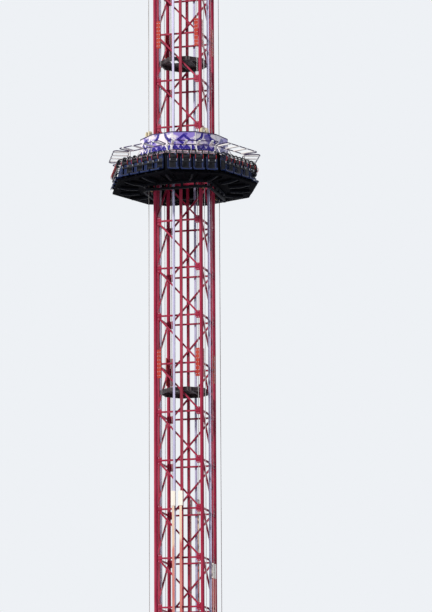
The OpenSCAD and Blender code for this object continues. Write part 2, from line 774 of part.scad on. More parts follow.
// Plates between the seats that hold the restraint shafts on the wall
module shaft_brackets() {
    color(steel_dark) translate([0, 0, car_z]) for (j = [0 : rows - 1], i = [0 : seats_per_row]) on_row(j)
        translate([0, bracket_y(i), 0]) rotate([90, 0, 0]) linear_extrude(bracket_t, center = true)
            difference() {
                polygon([[seat_r, back_top - 90], [shaft_x + 22, shaft_z - 30], [shaft_x + 22, shaft_z + 22],
                    [shaft_x - 22, shaft_z + 22], [seat_r, shaft_z]]);
                translate([shaft_x, shaft_z]) circle(d = shaft_d + 2 * seat_gap, $fn = 32);
            }
}

module restraint_shafts() {
    l = 2 * end_bracket_y + bracket_t + 6;
    color("#70747c") translate([0, 0, car_z + shaft_z]) for (j = [0 : rows - 1]) on_row(j)
        translate([shaft_x, 0, 0]) rotate([90, 0, 0]) cylinder(d = shaft_d, h = l, center = true, $fn = 32);
}

// Point i of a line's edge, offset by w to its left, with mitred corners
function mitred(p, i, w) =
    let (a = p[max(i, 1)] - p[max(i, 1) - 1], b = p[min(i + 1, len(p) - 1)] - p[min(i, len(p) - 2)],
        t = a / norm(a) + b / norm(b), u = t / norm(t))
    p[i] + w / (u * b / norm(b)) * [-u[1], u[0]];

// A strip of constant width along a line of points
module strip(p, w) {
    last = len(p) - 1;
    polygon([for (i = [0 : last]) mitred(p, i, w / 2), for (i = [last : -1 : 0]) mitred(p, i, -w / 2)]);
}

// Points of a smooth curve through four control points
function bezier(c, n) = [for (i = [0 : n]) let (t = i / n, u = 1 - t)
    u * u * u * c[0] + 3 * u * u * t * c[1] + 3 * u * t * t * c[2] + t * t * t * c[3]];

// One over-shoulder restraint, drawn about its shaft: two bent arms, a chest bar and a lap bar
module restraint() {
    half = seat_w / 2 - 56;
    hub_l = 2 * half + arm_d + 12;
    arm = concat([[0, 0], [60, 4]], bezier([[92, 4], [170, 4], [204, -60], [200, -190]], 5), [[190, -330]]);
    bars = [[200, -190], [191, -316]];
    difference() {
        union() {
            rotate([90, 0, 0]) cylinder(d = hub_d, h = hub_l, center = true, $fn = 24);
            for (s = [-1, 1]) translate([0, s * half, 0]) rotate([90, 0, 0])
                linear_extrude(arm_d, center = true) strip(arm, arm_d);
        }
        rotate([90, 0, 0]) cylinder(d = shaft_d + 2 * seat_gap, h = hub_l + 8, center = true, $fn = 24);
    }
    for (p = bars) translate([p[0], 0, p[1]]) rotate([90, 0, 0])
        cylinder(d = arm_d - 6, h = 2 * half - arm_d + 8, center = true, $fn = 12);
}

module restraints(n) {
    color("#16181f") translate([0, 0, car_z + shaft_z]) on_row(n - 1) translate([shaft_x, 0, 0])
        for (i = [0 : seats_per_row - 1]) translate([0, seat_y(i), 0]) restraint();
}

base_frame();
base_plates();
anchor_ribs();
column(0);  // column_front_left
column(1);  // column_front_right
column(2);  // column_back_right
column(3);  // column_back_left
lattice(0);  // lattice_front
lattice(1);  // lattice_right
lattice(2);  // lattice_back
lattice(3);  // lattice_left
splice_plates();
platforms();
guide_posts();
guide_rails();
post_brackets();
brake_fins();
fin_caps();
hoist_ropes();
rope_anchors();
head_beams();
head_deck();
head_sheaves();
sheave_brackets();
head_railing();
guide_frame();
guide_wheels();
wheel_brackets();
radial_beams();
bottom_pan();
row_walls();
skirt_panels();
drum_deck();
drum_panels();
drum_posts();
drum_top();
catch_blocks();
canopy_posts();
corner_posts();
canopy_frames();
canopy_bars();
seat_backs();
seat_pans();
restraint_shafts();
shaft_brackets();
restraints(1);  // restraints_1
restraints(2);  // restraints_2
restraints(3);  // restraints_3
restraints(4);  // restraints_4
restraints(5);  // restraints_5
restraints(6);  // restraints_6
restraints(7);  // restraints_7
restraints(8);  // restraints_8
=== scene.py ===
"""Drop tower ride, 1:2 scale model: finishes, fittings, light and camera."""
import math

import bmesh
import bpy
from mathutils import Matrix, Vector


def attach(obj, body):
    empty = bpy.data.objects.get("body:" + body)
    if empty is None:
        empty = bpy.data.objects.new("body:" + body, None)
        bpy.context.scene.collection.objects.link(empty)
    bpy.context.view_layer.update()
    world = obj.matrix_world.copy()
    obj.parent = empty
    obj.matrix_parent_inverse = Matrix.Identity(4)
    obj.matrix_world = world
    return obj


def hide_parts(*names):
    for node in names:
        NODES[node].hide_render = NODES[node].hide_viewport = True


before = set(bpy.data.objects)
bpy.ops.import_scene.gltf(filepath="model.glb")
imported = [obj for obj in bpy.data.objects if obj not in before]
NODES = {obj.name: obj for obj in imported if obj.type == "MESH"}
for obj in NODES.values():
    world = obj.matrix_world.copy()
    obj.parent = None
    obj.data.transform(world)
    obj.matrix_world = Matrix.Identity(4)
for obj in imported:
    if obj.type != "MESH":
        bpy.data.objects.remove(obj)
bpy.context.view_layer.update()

# Sizes of the ring car's solids, in metres
CAR_Z = 22.300
ROWS = 8
ROW_STEP = math.radians(45)
SEATS = 4
SEAT_R = 1.715
PITCH = 2 * SEAT_R * math.tan(ROW_STEP / 2) / SEATS
SEAT_W = PITCH - 0.060
BACK_TOP = 0.690
SHAFT_X = SEAT_R + 0.024
SHAFT_Z = 0.728
PAN_Z = 0.100
DRUM_SIDES = 12
DRUM_R = 1.281
DRUM_Z = 0.915
DRUM_H = 0.495
DRUM_TAPER = 0.028
CANOPY_Z = 0.972
CANOPY_IN = 1.587
CANOPY_OUT = 2.033

# Sizes of the tower's solids, in metres
FACES = 4
COL = 0.650
COLUMN_R = 0.050
FIRST_LEVEL = 0.340
SPLICE_Z = 8.075
PANEL_H = 1.330
PANELS = 25
SPLICES = (6, 13, 20)


def level(k):
    """Height of the tower's horizontal k."""
    return FIRST_LEVEL if k == 0 else SPLICE_Z + (k - SPLICES[0]) * PANEL_H


def on_car(angle, z=0.0):
    """Places a piece drawn with X outward, turned about the ring car's axis and lifted by z."""
    return Matrix.Translation((0, 0, CAR_Z + z)) @ Matrix.Rotation(angle, 4, "Z")


def seat_place(j, i, x=0.0, z=0.0):
    """Places a piece drawn with X outward at seat i of row j."""
    y = (i - (SEATS - 1) / 2) * PITCH
    return on_car(ROW_STEP * (j + 0.5)) @ Matrix.Translation((x, y, z))


def all_seats(x=0.0):
    """The places of all the ring car's seats, row by row."""
    return [seat_place(j, i, x) for j in range(ROWS) for i in range(SEATS)]


def face_place(i):
    """Places a piece drawn on the front face, in the plane y = -COL, at face i."""
    return Matrix.Rotation(math.radians(90 * i), 4, "Z") @ Matrix.Translation((0, -COL, 0))


# Finishes
MATH = "ShaderNodeMath"


def linear(code):
    """An sRGB hex colour as the linear values that a shader takes."""
    parts = [int(code[k:k + 2], 16) / 255 for k in (1, 3, 5)]
    return tuple(c / 12.92 if c <= 0.04045 else ((c + 0.055) / 1.055) ** 2.4 for c in parts) + (1.0,)


def add(tree, kind, inputs=(), **settings):
    """Adds a node with its settings and inputs, which go by name, or in order where they are a list.

    An input is a plain value, an output, or a node, which gives its first output.
    """
    node = tree.nodes.new(kind)
    for key, value in settings.items():
        setattr(node, key, value)
    for key, value in inputs.items() if isinstance(inputs, dict) else enumerate(inputs):
        if isinstance(value, bpy.types.Node):
            value = value.outputs[0]
        if isinstance(value, bpy.types.NodeSocket):
            tree.links.new(value, node.inputs[key])
        else:
            node.inputs[key].default_value = value
    return node


def finish(name, colour, roughness, metallic=0.0, coat=0.0, coat_roughness=0.1, shine=0.5):
    """A new material with its plain values on the shader's own sockets: material, tree and shader."""
    material = bpy.data.materials.new(name)
    material.use_nodes = True
    shader = material.node_tree.nodes["Principled BSDF"]
    plain = {"Base Color": linear(colour), "Roughness": roughness, "Metallic": metallic,
             "Coat Weight": coat, "Coat Roughness": coat_roughness, "Specular IOR Level": shine}
    for key, value in plain.items():
        shader.inputs[key].default_value = value
    material.diffuse_color = linear(colour)
    return material, material.node_tree, shader


def patches(tree, size_mm, start, end, z_scale=1, turn=(0, 0, 0), most=1.0):
    """Soft-edged patches about size_mm across, from 0 to most; a z_scale under 1 draws them out upwards."""
    place = add(tree, "ShaderNodeTexCoord").outputs["Object"]
    laid = add(tree, "ShaderNodeMapping", {"Vector": place, "Scale": (1, 1, z_scale), "Rotation": turn})
    cloud = add(tree, "ShaderNodeTexNoise", {"Vector": laid, "Scale": 1000 / size_mm, "Detail": 5.0})
    return add(tree, "ShaderNodeMapRange",
               {"Value": cloud, "From Min": start, "From Max": end, "To Max": most},
               interpolation_type="SMOOTHSTEP")


def laid_over(tree, ground, *coats):
    """A ground colour with other colours laid over it, each where its own patches are."""
    colour = linear(ground)
    for mask, top in coats:
        colour = add(tree, "ShaderNodeMix", {0: mask, 6: colour, 7: linear(top)}, data_type="RGBA").outputs[2]
    return colour


def skin(tree, shader, colour, dull, roughness, relief, strength, depth_mm):
    """Sets the colour, a roughness that runs over its range with dull, and a bump from relief."""
    tree.links.new(colour, shader.inputs["Base Color"])
    rough = add(tree, "ShaderNodeMapRange", {"Value": dull, "To Min": roughness[0], "To Max": roughness[1]})
    tree.links.new(rough.outputs["Result"], shader.inputs["Roughness"])
    bump = add(tree, "ShaderNodeBump", {"Height": relief, "Strength": strength, "Distance": depth_mm / 1000})
    tree.links.new(bump.outputs["Normal"], shader.inputs["Normal"])


def sprayed_enamel(name, colour, faded, dirt, gloss=0.38, coat=0.06, streaks=0.45, shine=0.15):
    """Two-part enamel sprayed on steel: sun-faded fields, rain streaks, chips, and orange peel."""
    material, tree, shader = finish(name, colour, gloss, coat=coat, coat_roughness=0.2, shine=shine)
    field = patches(tree, 900, 0.36, 0.66, z_scale=0.6)
    bloom = patches(tree, 60, 0.35, 0.75, most=0.35)
    rain = patches(tree, 90, 0.52, 0.72, z_scale=0.05, most=streaks)
    chips = patches(tree, 14, 0.70, 0.73, most=0.7)
    # orange peel is under 2 mm on the real thing; it is drawn 9 mm wide so that it shows
    peel = patches(tree, 9, 0.3, 0.7)
    colour = laid_over(tree, colour, (field, faded), (bloom, faded), (rain, dirt), (chips, dirt))
    soiled = add(tree, MATH, [rain, bloom], operation="MAXIMUM")
    skin(tree, shader, colour, soiled, (gloss, gloss + 0.3), relief=peel, strength=0.12, depth_mm=1.0)
    return material


def hot_dip_zinc(name, pale, dark):
    """Hot-dip galvanised steel: crystal spangle, a dull white bloom and dark run-off marks."""
    material, tree, shader = finish(name, pale, 0.45, metallic=0.6)
    place = add(tree, "ShaderNodeTexCoord").outputs["Object"]
    # spangle is 10 to 20 mm across on the real thing; it is drawn 30 mm across so that it shows
    crystal = add(tree, "ShaderNodeTexVoronoi", {"Vector": place, "Scale": 1000 / 30})
    value = add(tree, "ShaderNodeRGBToBW", {"Color": crystal.outputs["Color"]})
    shade = add(tree, "ShaderNodeMapRange", {"Value": value, "To Max": 0.55})
    white = patches(tree, 500, 0.40, 0.66, z_scale=0.4, most=0.7)
    runs = patches(tree, 45, 0.58, 0.74, z_scale=0.04, most=0.5)
    colour = laid_over(tree, pale, (shade, dark), (white, pale), (runs, dark))
    skin(tree, shader, colour, value, (0.30, 0.55), relief=value, strength=0.15, depth_mm=0.6)
    return material


def drawn_metal(name, pale, tarnish, line_mm, roughness=0.3):
    """Rolled, drawn or turned metal: fine lines along the work, and a tarnish that has settled in patches."""
    material, tree, shader = finish(name, pale, roughness, metallic=0.85)
    # tool lines are well under 1 mm apart; they are drawn coarser so that they show
    lines = patches(tree, line_mm, 0.3, 0.7)
    dull = patches(tree, 600, 0.42, 0.64, z_scale=0.5, most=0.9)
    marks = add(tree, MATH, [lines, 0.3], operation="MULTIPLY")
    colour = laid_over(tree, pale, (dull, tarnish), (marks, tarnish))
    skin(tree, shader, colour, dull, (roughness, roughness + 0.2), relief=lines, strength=0.2, depth_mm=0.5)
    return material


def rubbed_brake_fin(name, cream, bare, rosy, turn_z):
    """Copper-alloy brake fin: cream paint holds near its cap, and grit has rubbed it rosy below."""
    material, tree, shader = finish(name, bare, 0.34, metallic=0.35)
    place = add(tree, "ShaderNodeTexCoord").outputs["Object"]
    height = add(tree, "ShaderNodeSeparateXYZ", {"Vector": place}).outputs["Z"]
    ragged = add(tree, MATH, [patches(tree, 160, 0.3, 0.7, z_scale=0.15), 0.5, height],
                 operation="MULTIPLY_ADD")
    painted = add(tree, "ShaderNodeMapRange",
                  {"Value": ragged, "From Min": turn_z + 0.2, "From Max": turn_z + 0.4})
    # the scores run up the fin and are under 1 mm wide; they are drawn 12 mm wide so that they show
    scores = patches(tree, 12, 0.35, 0.65, z_scale=0.01)
    dull = patches(tree, 420, 0.40, 0.66, z_scale=0.3, most=0.8)
    marks = add(tree, MATH, [scores, 0.35], operation="MULTIPLY")
    colour = laid_over(tree, bare, (dull, rosy), (painted, cream), (marks, rosy))
    skin(tree, shader, colour, dull, (0.3, 0.55), relief=scores, strength=0.25, depth_mm=0.6)
    return material


def moulded_skin(name, colour, worn, dust, roughness, pebble_mm, coat=0.0):
    """Moulded plastic, foam or rubber: a pebbled skin, rubbed paler by hands, with dust in its hollows."""
    material, tree, shader = finish(name, colour, roughness[0], coat=coat, shine=0.2)
    rubbed = patches(tree, 180, 0.42, 0.72, most=0.6)
    settled = patches(tree, 70, 0.50, 0.80, z_scale=2, most=0.3)
    # a mould's grain is under 1 mm; it is drawn pebble_mm wide so that it shows
    place = add(tree, "ShaderNodeTexCoord").outputs["Object"]
    pebble = add(tree, "ShaderNodeTexVoronoi", {"Vector": place, "Scale": 1000 / pebble_mm})
    colour = laid_over(tree, colour, (rubbed, worn), (settled, dust))
    skin(tree, shader, colour, settled, roughness, relief=pebble, strength=0.25, depth_mm=0.5)
    return material


def laid_wire_rope(name):
    """Galvanised steel wire rope: slanting strands with dark grease in the lays."""
    material, tree, shader = finish(name, "#C9C6C4", 0.4, metallic=0.7)
    place = add(tree, "ShaderNodeTexCoord").outputs["Object"]
    lean = add(tree, "ShaderNodeMapping", {"Vector": place, "Scale": (60, 60, 42)})
    # a strand is 5 mm wide; the lay is drawn at 24 mm so that it shows
    strand = add(tree, "ShaderNodeTexWave", {"Vector": lean, "Scale": 0.35}, bands_direction="DIAGONAL")
    grease = patches(tree, 700, 0.45, 0.70, z_scale=0.3, most=0.6)
    lay = add(tree, "ShaderNodeMapRange", {"Value": strand, "From Min": 0.45, "From Max": 0.1})
    colour = laid_over(tree, "#C9C6C4", (lay, "#7F7A76"), (grease, "#6E6862"))
    skin(tree, shader, colour, lay, (0.35, 0.6), relief=strand, strength=0.5, depth_mm=2.0)
    return material


def lugged_floor_plate(name):
    """Painted chequer plate: raised slanting lugs whose tops are rubbed to bare steel."""
    material, tree, shader = finish(name, "#3B2B30", 0.55, metallic=0.2)
    place = add(tree, "ShaderNodeTexCoord").outputs["Object"]
    laid = add(tree, "ShaderNodeMapping",
               {"Vector": place, "Scale": (1, 0.5, 1), "Rotation": (0, 0, math.pi / 4)})
    lugs = add(tree, "ShaderNodeTexVoronoi", {"Vector": laid, "Scale": 1000 / 30, "Randomness": 0.0},
               distance="CHEBYCHEV")
    top = add(tree, "ShaderNodeMapRange", {"Value": lugs, "From Min": 0.24, "From Max": 0.12})
    mud = patches(tree, 300, 0.35, 0.70, most=0.8)
    rubbed = add(tree, MATH, [top, 0.55], operation="MULTIPLY")
    colour = laid_over(tree, "#3B2B30", (mud, "#231B1C"), (rubbed, "#918787"))
    skin(tree, shader, colour, mud, (0.4, 0.75), relief=top, strength=0.5, depth_mm=3.0)
    return material


def printed_drum_panel(name):
    """Printed vinyl on flat sheet: lilac with an indigo zigzag foot, lozenges and quarter fans, under clouds
    of painted light and painted shade.
    """
    material, tree, shader = finish(name, "#D9D2F2", 0.3, coat=0.12, shine=0.2)
    place = add(tree, "ShaderNodeTexCoord").outputs["Object"]
    at = add(tree, "ShaderNodeSeparateXYZ", {"Vector": place})
    turn = add(tree, MATH, [at.outputs["Y"], at.outputs["X"]], operation="ARCTAN2")
    # along counts the panels round the drum; u runs over one panel, and v from its foot to its top
    along = add(tree, MATH, [turn, DRUM_SIDES / math.tau, DRUM_SIDES], operation="MULTIPLY_ADD")
    u = add(tree, MATH, [along], operation="FRACT")
    v = add(tree, "ShaderNodeMapRange",
            {"Value": at.outputs["Z"], "From Min": CAR_Z + DRUM_Z, "From Max": CAR_Z + DRUM_Z + DRUM_H},
            clamp=False)
    pair = add(tree, MATH, [along, 2.0], operation="FLOORED_MODULO")
    odd = add(tree, MATH, [pair, 1.0], operation="GREATER_THAN")
    even = add(tree, MATH, [1.0, odd], operation="SUBTRACT")

    # the zigzag foot has four points to a panel
    teeth = add(tree, MATH, [u, 4.0], operation="MULTIPLY")
    tooth = add(tree, MATH, [teeth, 0.5], operation="PINGPONG")
    top = add(tree, MATH, [tooth, 0.44, 0.13], operation="MULTIPLY_ADD")
    foot = add(tree, MATH, [v, top], operation="LESS_THAN")

    # a broad hollow lozenge fills every other panel
    aside = add(tree, MATH, [u, 0.5], operation="SUBTRACT")
    across = add(tree, MATH, [aside], operation="ABSOLUTE")
    above = add(tree, MATH, [v, 0.60], operation="SUBTRACT")
    upward = add(tree, MATH, [above], operation="ABSOLUTE")
    span = add(tree, MATH, [across, 1.15, upward], operation="MULTIPLY_ADD")
    ring = add(tree, MATH, [span, 0.26, 0.10], operation="COMPARE")
    lozenge = add(tree, MATH, [ring, odd], operation="MULTIPLY")

    # quarter fans hang from the upper corners of the panels between
    side = add(tree, MATH, [u, 0.5], operation="PINGPONG")
    wide = add(tree, MATH, [side, 1.35], operation="MULTIPLY")
    low = add(tree, MATH, [1.0, v], operation="SUBTRACT")
    corner = add(tree, "ShaderNodeCombineXYZ", {"X": wide, "Y": low})
    reach = add(tree, "ShaderNodeVectorMath", [corner], operation="LENGTH")
    arc = add(tree, MATH, [reach.outputs["Value"], 0.44, 0.08], operation="COMPARE")
    fan = add(tree, MATH, [arc, even], operation="MULTIPLY")

    figures = add(tree, MATH, [lozenge, fan], operation="MAXIMUM")
    ink = add(tree, MATH, [figures, foot], operation="MAXIMUM")
    worn = patches(tree, 40, 0.22, 0.42)
    printed = add(tree, MATH, [ink, worn], operation="MULTIPLY")
    # the pale clouds are painted light and the indigo clouds are painted shade, laid over the print
    white = patches(tree, 420, 0.42, 0.52)
    painted_shade = patches(tree, 300, 0.53, 0.60, z_scale=1.6, turn=(0, 0, 0.6), most=0.85)
    grime = patches(tree, 120, 0.56, 0.80, z_scale=0.08, most=0.35)
    colour = laid_over(tree, "#9683D4", (white, "#F6EFF5"), (painted_shade, "#4636A4"), (printed, "#2B1E8A"),
                       (grime, "#9A93A2"))
    buckles = patches(tree, 260, 0.3, 0.7)
    skin(tree, shader, colour, grime, (0.25, 0.55), relief=buckles, strength=0.15, depth_mm=4.0)
    return material


# sprayed two-part enamel on the tower's steel: deep crimson that has faded to pink in fields
RED = sprayed_enamel("tower_crimson_enamel", "#9A1C3C", "#AB344E", "#4A1020")
# the same enamel in orange-red on the splice plates, fresher because it was brushed on after assembly
ORANGE = sprayed_enamel("splice_orange_enamel", "#B83428", "#C4503C", "#64201A")
# guide posts: the same crimson a shade duller, with heavy streaks where rain runs down the box
POST_RED = sprayed_enamel("guide_post_red_enamel", "#98203A", "#A93A50", "#48101E", streaks=0.6)
# a matt grey primer on the feet, muddy near the ground
GROUND_GREY = sprayed_enamel("base_plate_grey_primer", "#666A70", "#82858A", "#3E3A36", gloss=0.6, coat=0.0)
# chassis black: satin, with brown dust
CHASSIS_BLACK = sprayed_enamel("chassis_black_enamel", "#101116", "#1B1D25", "#26221F",
                               gloss=0.5, coat=0.0, shine=0.08)
# the bottom pan: a flat black enamel, darkened past the paint's own black as painted shade, so that the
# underside reads as one dark plate
PAN_BLACK_AND_SHADE = sprayed_enamel("bottom_pan_black_and_painted_shade", "#07070B", "#0D0D12", "#141211",
                           gloss=0.65, coat=0.0, shine=0.012)
# working platforms: painted chequer plate, its lugs bright where it is walked on
FLOOR_PLATE = lugged_floor_plate("lugged_floor_plate")
# guide rails: galvanised, pale lilac-white where the light falls on the bloom
ZINC = hot_dip_zinc("guide_rail_hot_dip_zinc", "#B8B3CE", "#7C7896")
# brake fins are rolled copper alloy: cream at the top, salmon with rosy tarnish below
COPPER = rubbed_brake_fin("brake_fin_copper_alloy", "#EAD2B6", "#DB9282", "#B0524E", 12.3)
# lead-in caps: gloss white enamel, gone cream
CAP = sprayed_enamel("lead_in_cap_cream_enamel", "#FAF2E0", "#FFFAEE", "#B5A68E", streaks=0.25)
# hoist ropes: a pale grey twist with dark grease in it
ROPE = laid_wire_rope("hoist_wire_rope")
# sheaves: ochre enamel on cast iron, dulled by the rope's grease
SHEAVE = sprayed_enamel("sheave_yellow_enamel", "#C99A3A", "#D9B566", "#5E4A2C")
# handrails: safety yellow enamel, bright against the steel
HANDRAIL = sprayed_enamel("handrail_yellow_enamel", "#DDB02E", "#E6C566", "#7C6233")
# drum panels: printed vinyl with a satin sheen, slightly buckled between its rivets, under clouds of painted
# light and painted shade
PRINT = printed_drum_panel("drum_printed_vinyl")
# the ring's roof: powder-coated sheet, a dusty mauve pink
ROOF = sprayed_enamel("roof_mauve_powder_coat", "#AE9199", "#C4A9AE", "#85707A", gloss=0.42, coat=0.05)
# the frames over the rows: gloss purple enamel over tube
PURPLE = sprayed_enamel("canopy_purple_gloss_enamel", "#35264E", "#4A3A66", "#241A36",
                        gloss=0.35, coat=0.05, shine=0.09)
# posts, stays and slats: gloss white enamel, with thin streaks
WHITE = sprayed_enamel("post_white_gloss_enamel", "#F0EFEC", "#F8F8F6", "#BFBAB4",
                       gloss=0.28, coat=0.12, streaks=0.25)
# catch blocks: cream enamel, yellowed by the sun
CREAM = sprayed_enamel("catch_cream_enamel", "#E4D6AC", "#EDE3C4", "#9B8C6B")
# seat shells: rotationally moulded polyethylene, glossy navy, rubbed on the lips
SHELL = moulded_skin("seat_navy_moulded_polyethylene", "#1D2C58", "#31426F", "#5D6478",
                     (0.28, 0.5), pebble_mm=9, coat=0.08)
# the pads set into the seats: black vinyl
VINYL = moulded_skin("seat_black_vinyl", "#1B1C22", "#2B2C33", "#4B4845", (0.5, 0.7), pebble_mm=5)
# restraint pads: self-skinning polyurethane foam, matt with a soft grain
FOAM = moulded_skin("restraint_black_skinned_foam", "#191A20", "#2C2D34", "#46434A", (0.5, 0.72), pebble_mm=6)
# restraint shafts: ground steel, with bright highlights along them
SHAFT = drawn_metal("restraint_shaft_ground_steel", "#C3C5C9", "#8B8785", line_mm=9, roughness=0.22)
# restraint bars: brushed steel, a softer shine than the shafts
BAR = drawn_metal("restraint_bar_brushed_steel", "#B4B6BC", "#807E80", line_mm=7, roughness=0.28)
# grips: ribbed red rubber sleeves
HANDLE = moulded_skin("restraint_red_rubber_grip", "#A92028", "#C0474A", "#5E3A3C", (0.45, 0.7), pebble_mm=4)
# wheel treads: cast amber urethane on turned aluminium hubs
TREAD = moulded_skin("wheel_amber_cast_urethane", "#7A5A2C", "#8E6E3E", "#4A4034", (0.35, 0.6), pebble_mm=8)
HUB = drawn_metal("wheel_turned_aluminium", "#BFC2C8", "#8F9096", line_mm=8)
# bolts and rivets: bright zinc plate, gone dull in places
BOLT = hot_dip_zinc("fastener_zinc_plate", "#BFC0C8", "#83848E")

DRESS = {
    RED: ("base_frame", "anchor_ribs", "column_front_left", "column_front_right", "column_back_right",
          "column_back_left", "lattice_front", "lattice_right", "lattice_back", "lattice_left", "head_beams",
          "sheave_brackets"),
    ORANGE: ("splice_plates",),
    POST_RED: ("guide_posts",),
    GROUND_GREY: ("base_plates",),
    CHASSIS_BLACK: ("post_brackets", "rope_anchors", "guide_frame", "wheel_brackets", "radial_beams",
                    "shaft_brackets", "row_walls"),
    # the pan and the drum deck take the black that is darkened as painted shade
    PAN_BLACK_AND_SHADE: ("bottom_pan", "drum_deck"),
    FLOOR_PLATE: ("platforms", "head_deck"),
    ZINC: ("guide_rails",),
    COPPER: ("brake_fins",),
    CAP: ("fin_caps",),
    ROPE: ("hoist_ropes",),
    SHEAVE: ("head_sheaves",),
    HANDRAIL: ("head_railing",),
    PRINT: ("drum_panels",),
    ROOF: ("skirt_panels",),
    PURPLE: ("canopy_frames", "drum_top"),
    WHITE: ("drum_posts", "canopy_posts", "corner_posts", "canopy_bars"),
    CREAM: ("catch_blocks",),
    SHAFT: ("restraint_shafts",),
}
for material, names in DRESS.items():
    for name in names:
        NODES[name].data.materials.clear()
        NODES[name].data.materials.append(material)


# Mesh building
def make_piece(name, verts, faces, materials, face_material=None, smooth=True):
    """A new object from vertices and faces, in the given finishes."""
    mesh = bpy.data.meshes.new(name)
    mesh.from_pydata([tuple(v) for v in verts], [], faces)
    mesh.update()
    for material in materials:
        mesh.materials.append(material)
    if face_material:
        mesh.polygons.foreach_set("material_index", face_material)
    mesh.polygons.foreach_set("use_smooth", [smooth] * len(mesh.polygons))
    obj = bpy.data.objects.new(name, mesh)
    bpy.context.scene.collection.objects.link(obj)
    return obj


def face_outwards(obj):
    """Merges doubled vertices and turns every face outwards."""
    work = bmesh.new()
    work.from_mesh(obj.data)
    bmesh.ops.remove_doubles(work, verts=work.verts, dist=1e-6)
    bmesh.ops.recalc_face_normals(work, faces=work.faces)
    work.to_mesh(obj.data)
    work.free()


def crease_edges(obj, degrees):
    """Smooth faces with sharp edges where the form turns by more than degrees."""
    obj.data.polygons.foreach_set("use_smooth", [True] * len(obj.data.polygons))
    obj.data.set_sharp_from_angle(angle=math.radians(degrees))


def sweep(path, radii, sides, flat=1.0):
    """A closed round bar along a path: vertices and faces; flat scales it square to its side direction."""
    path = [Vector(p) for p in path]
    verts, faces = [], []
    side = None
    for k, p in enumerate(path):
        ahead = path[min(k + 1, len(path) - 1)] - path[max(k - 1, 0)]
        ahead.normalize()
        if side is None:
            side = ahead.cross(Vector((0, 0, 1)))
            if side.length < 0.2:
                side = ahead.cross(Vector((0, 1, 0)))
        side = (side - ahead * side.dot(ahead)).normalized()
        up = ahead.cross(side)
        for s in range(sides):
            a = math.tau * s / sides
            verts.append(p + radii[k] * (side * math.cos(a) + up * math.sin(a) * flat))
    for k in range(len(path) - 1):
        for s in range(sides):
            t = (s + 1) % sides
            faces.append((k * sides + s, k * sides + t, (k + 1) * sides + t, (k + 1) * sides + s))
    faces.append(tuple(range(sides))[::-1])
    last = (len(path) - 1) * sides
    faces.append(tuple(range(last, last + sides)))
    return verts, faces


def mirrored(half):
    """(y, radius) pairs and their mirror image, from one end to the other."""
    return [(-y, r) for y, r in half] + [(y, r) for y, r in reversed(half)]


def turned_bar(profile, x, z, sides):
    """A bar along Y at x and z, whose radius follows (y, radius) pairs: vertices and faces."""
    return sweep([(x, y, z) for y, r in profile], [r for y, r in profile], sides)


def block(lo, hi):
    """A box between two corners: vertices and faces."""
    (x0, y0, z0), (x1, y1, z1) = lo, hi
    verts = [Vector(v) for v in ((x0, y0, z0), (x1, y0, z0), (x1, y1, z0), (x0, y1, z0),
                                 (x0, y0, z1), (x1, y0, z1), (x1, y1, z1), (x0, y1, z1))]
    faces = [(0, 3, 2, 1), (4, 5, 6, 7), (0, 1, 5, 4), (1, 2, 6, 5), (2, 3, 7, 6), (3, 0, 4, 7)]
    return verts, faces


def hoop(count):
    """The faces round a bar whose two outlines have count points each."""
    return [(k, (k + 1) % count, (k + 1) % count + count, k + count) for k in range(count)]


def moved(part, place):
    """A part's vertices put in place, with its faces."""
    return [place @ Vector(v) for v in part[0]], part[1]


def drawn(name, parts, finishes, crease=None):
    """A closed piece from parts of vertices, faces and finish number; its faces are flat unless creased."""
    verts, faces, index = [], [], []
    for part_verts, part_faces, number in parts:
        base = len(verts)
        verts += part_verts
        faces += [tuple(base + i for i in f) for f in part_faces]
        index += [number] * len(part_faces)
    piece = make_piece(name, verts, faces, finishes, index, smooth=False)
    face_outwards(piece)
    if crease:
        crease_edges(piece, crease)
    return piece


def eased(obj, width):
    """Rounds the sharp edges of a piece."""
    bevel = obj.modifiers.new("eased_edges", "BEVEL")
    bevel.width = width
    bevel.segments = 2
    bevel.limit_method = "ANGLE"
    return obj


def aboard(obj, body):
    """Lets a plain piece ride on its body."""
    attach(obj, body)
    return obj


def settle(obj, body):
    """Turns a piece with modifiers into a plain mesh and lets it ride on its body."""
    depsgraph = bpy.context.evaluated_depsgraph_get()
    done = bpy.data.meshes.new_from_object(obj.evaluated_get(depsgraph), depsgraph=depsgraph)
    obj.modifiers.clear()
    obj.data = done
    return aboard(obj, body)


# Repeats
def opened_tree(name, inputs):
    """A geometry tree that takes places and named inputs: sizes, or a finish where there is no value."""
    tree = bpy.data.node_groups.new(name, "GeometryNodeTree")
    tree.interface.new_socket("Places", in_out="INPUT", socket_type="NodeSocketGeometry")
    for label, value in inputs.items():
        kind = "NodeSocketMaterial" if value is None else "NodeSocketFloat"
        socket = tree.interface.new_socket(label, in_out="INPUT", socket_type=kind)
        if value is not None:
            socket.default_value = value
    tree.interface.new_socket("Pieces", in_out="OUTPUT", socket_type="NodeSocketGeometry")
    return tree, add(tree, "NodeGroupInput").outputs


def stood_on_places(tree, given, copy):
    """Stands a copy on every place, turned by the place's own turn, and makes it real."""
    turn = add(tree, "GeometryNodeInputNamedAttribute", {"Name": "turn"}, data_type="FLOAT_VECTOR")
    turned = add(tree, "FunctionNodeEulerToRotation", {"Euler": turn})
    stood = add(tree, "GeometryNodeInstanceOnPoints",
                {"Points": given["Places"], "Instance": copy, "Rotation": turned})
    return add(tree, "GeometryNodeRealizeInstances", {"Geometry": stood})


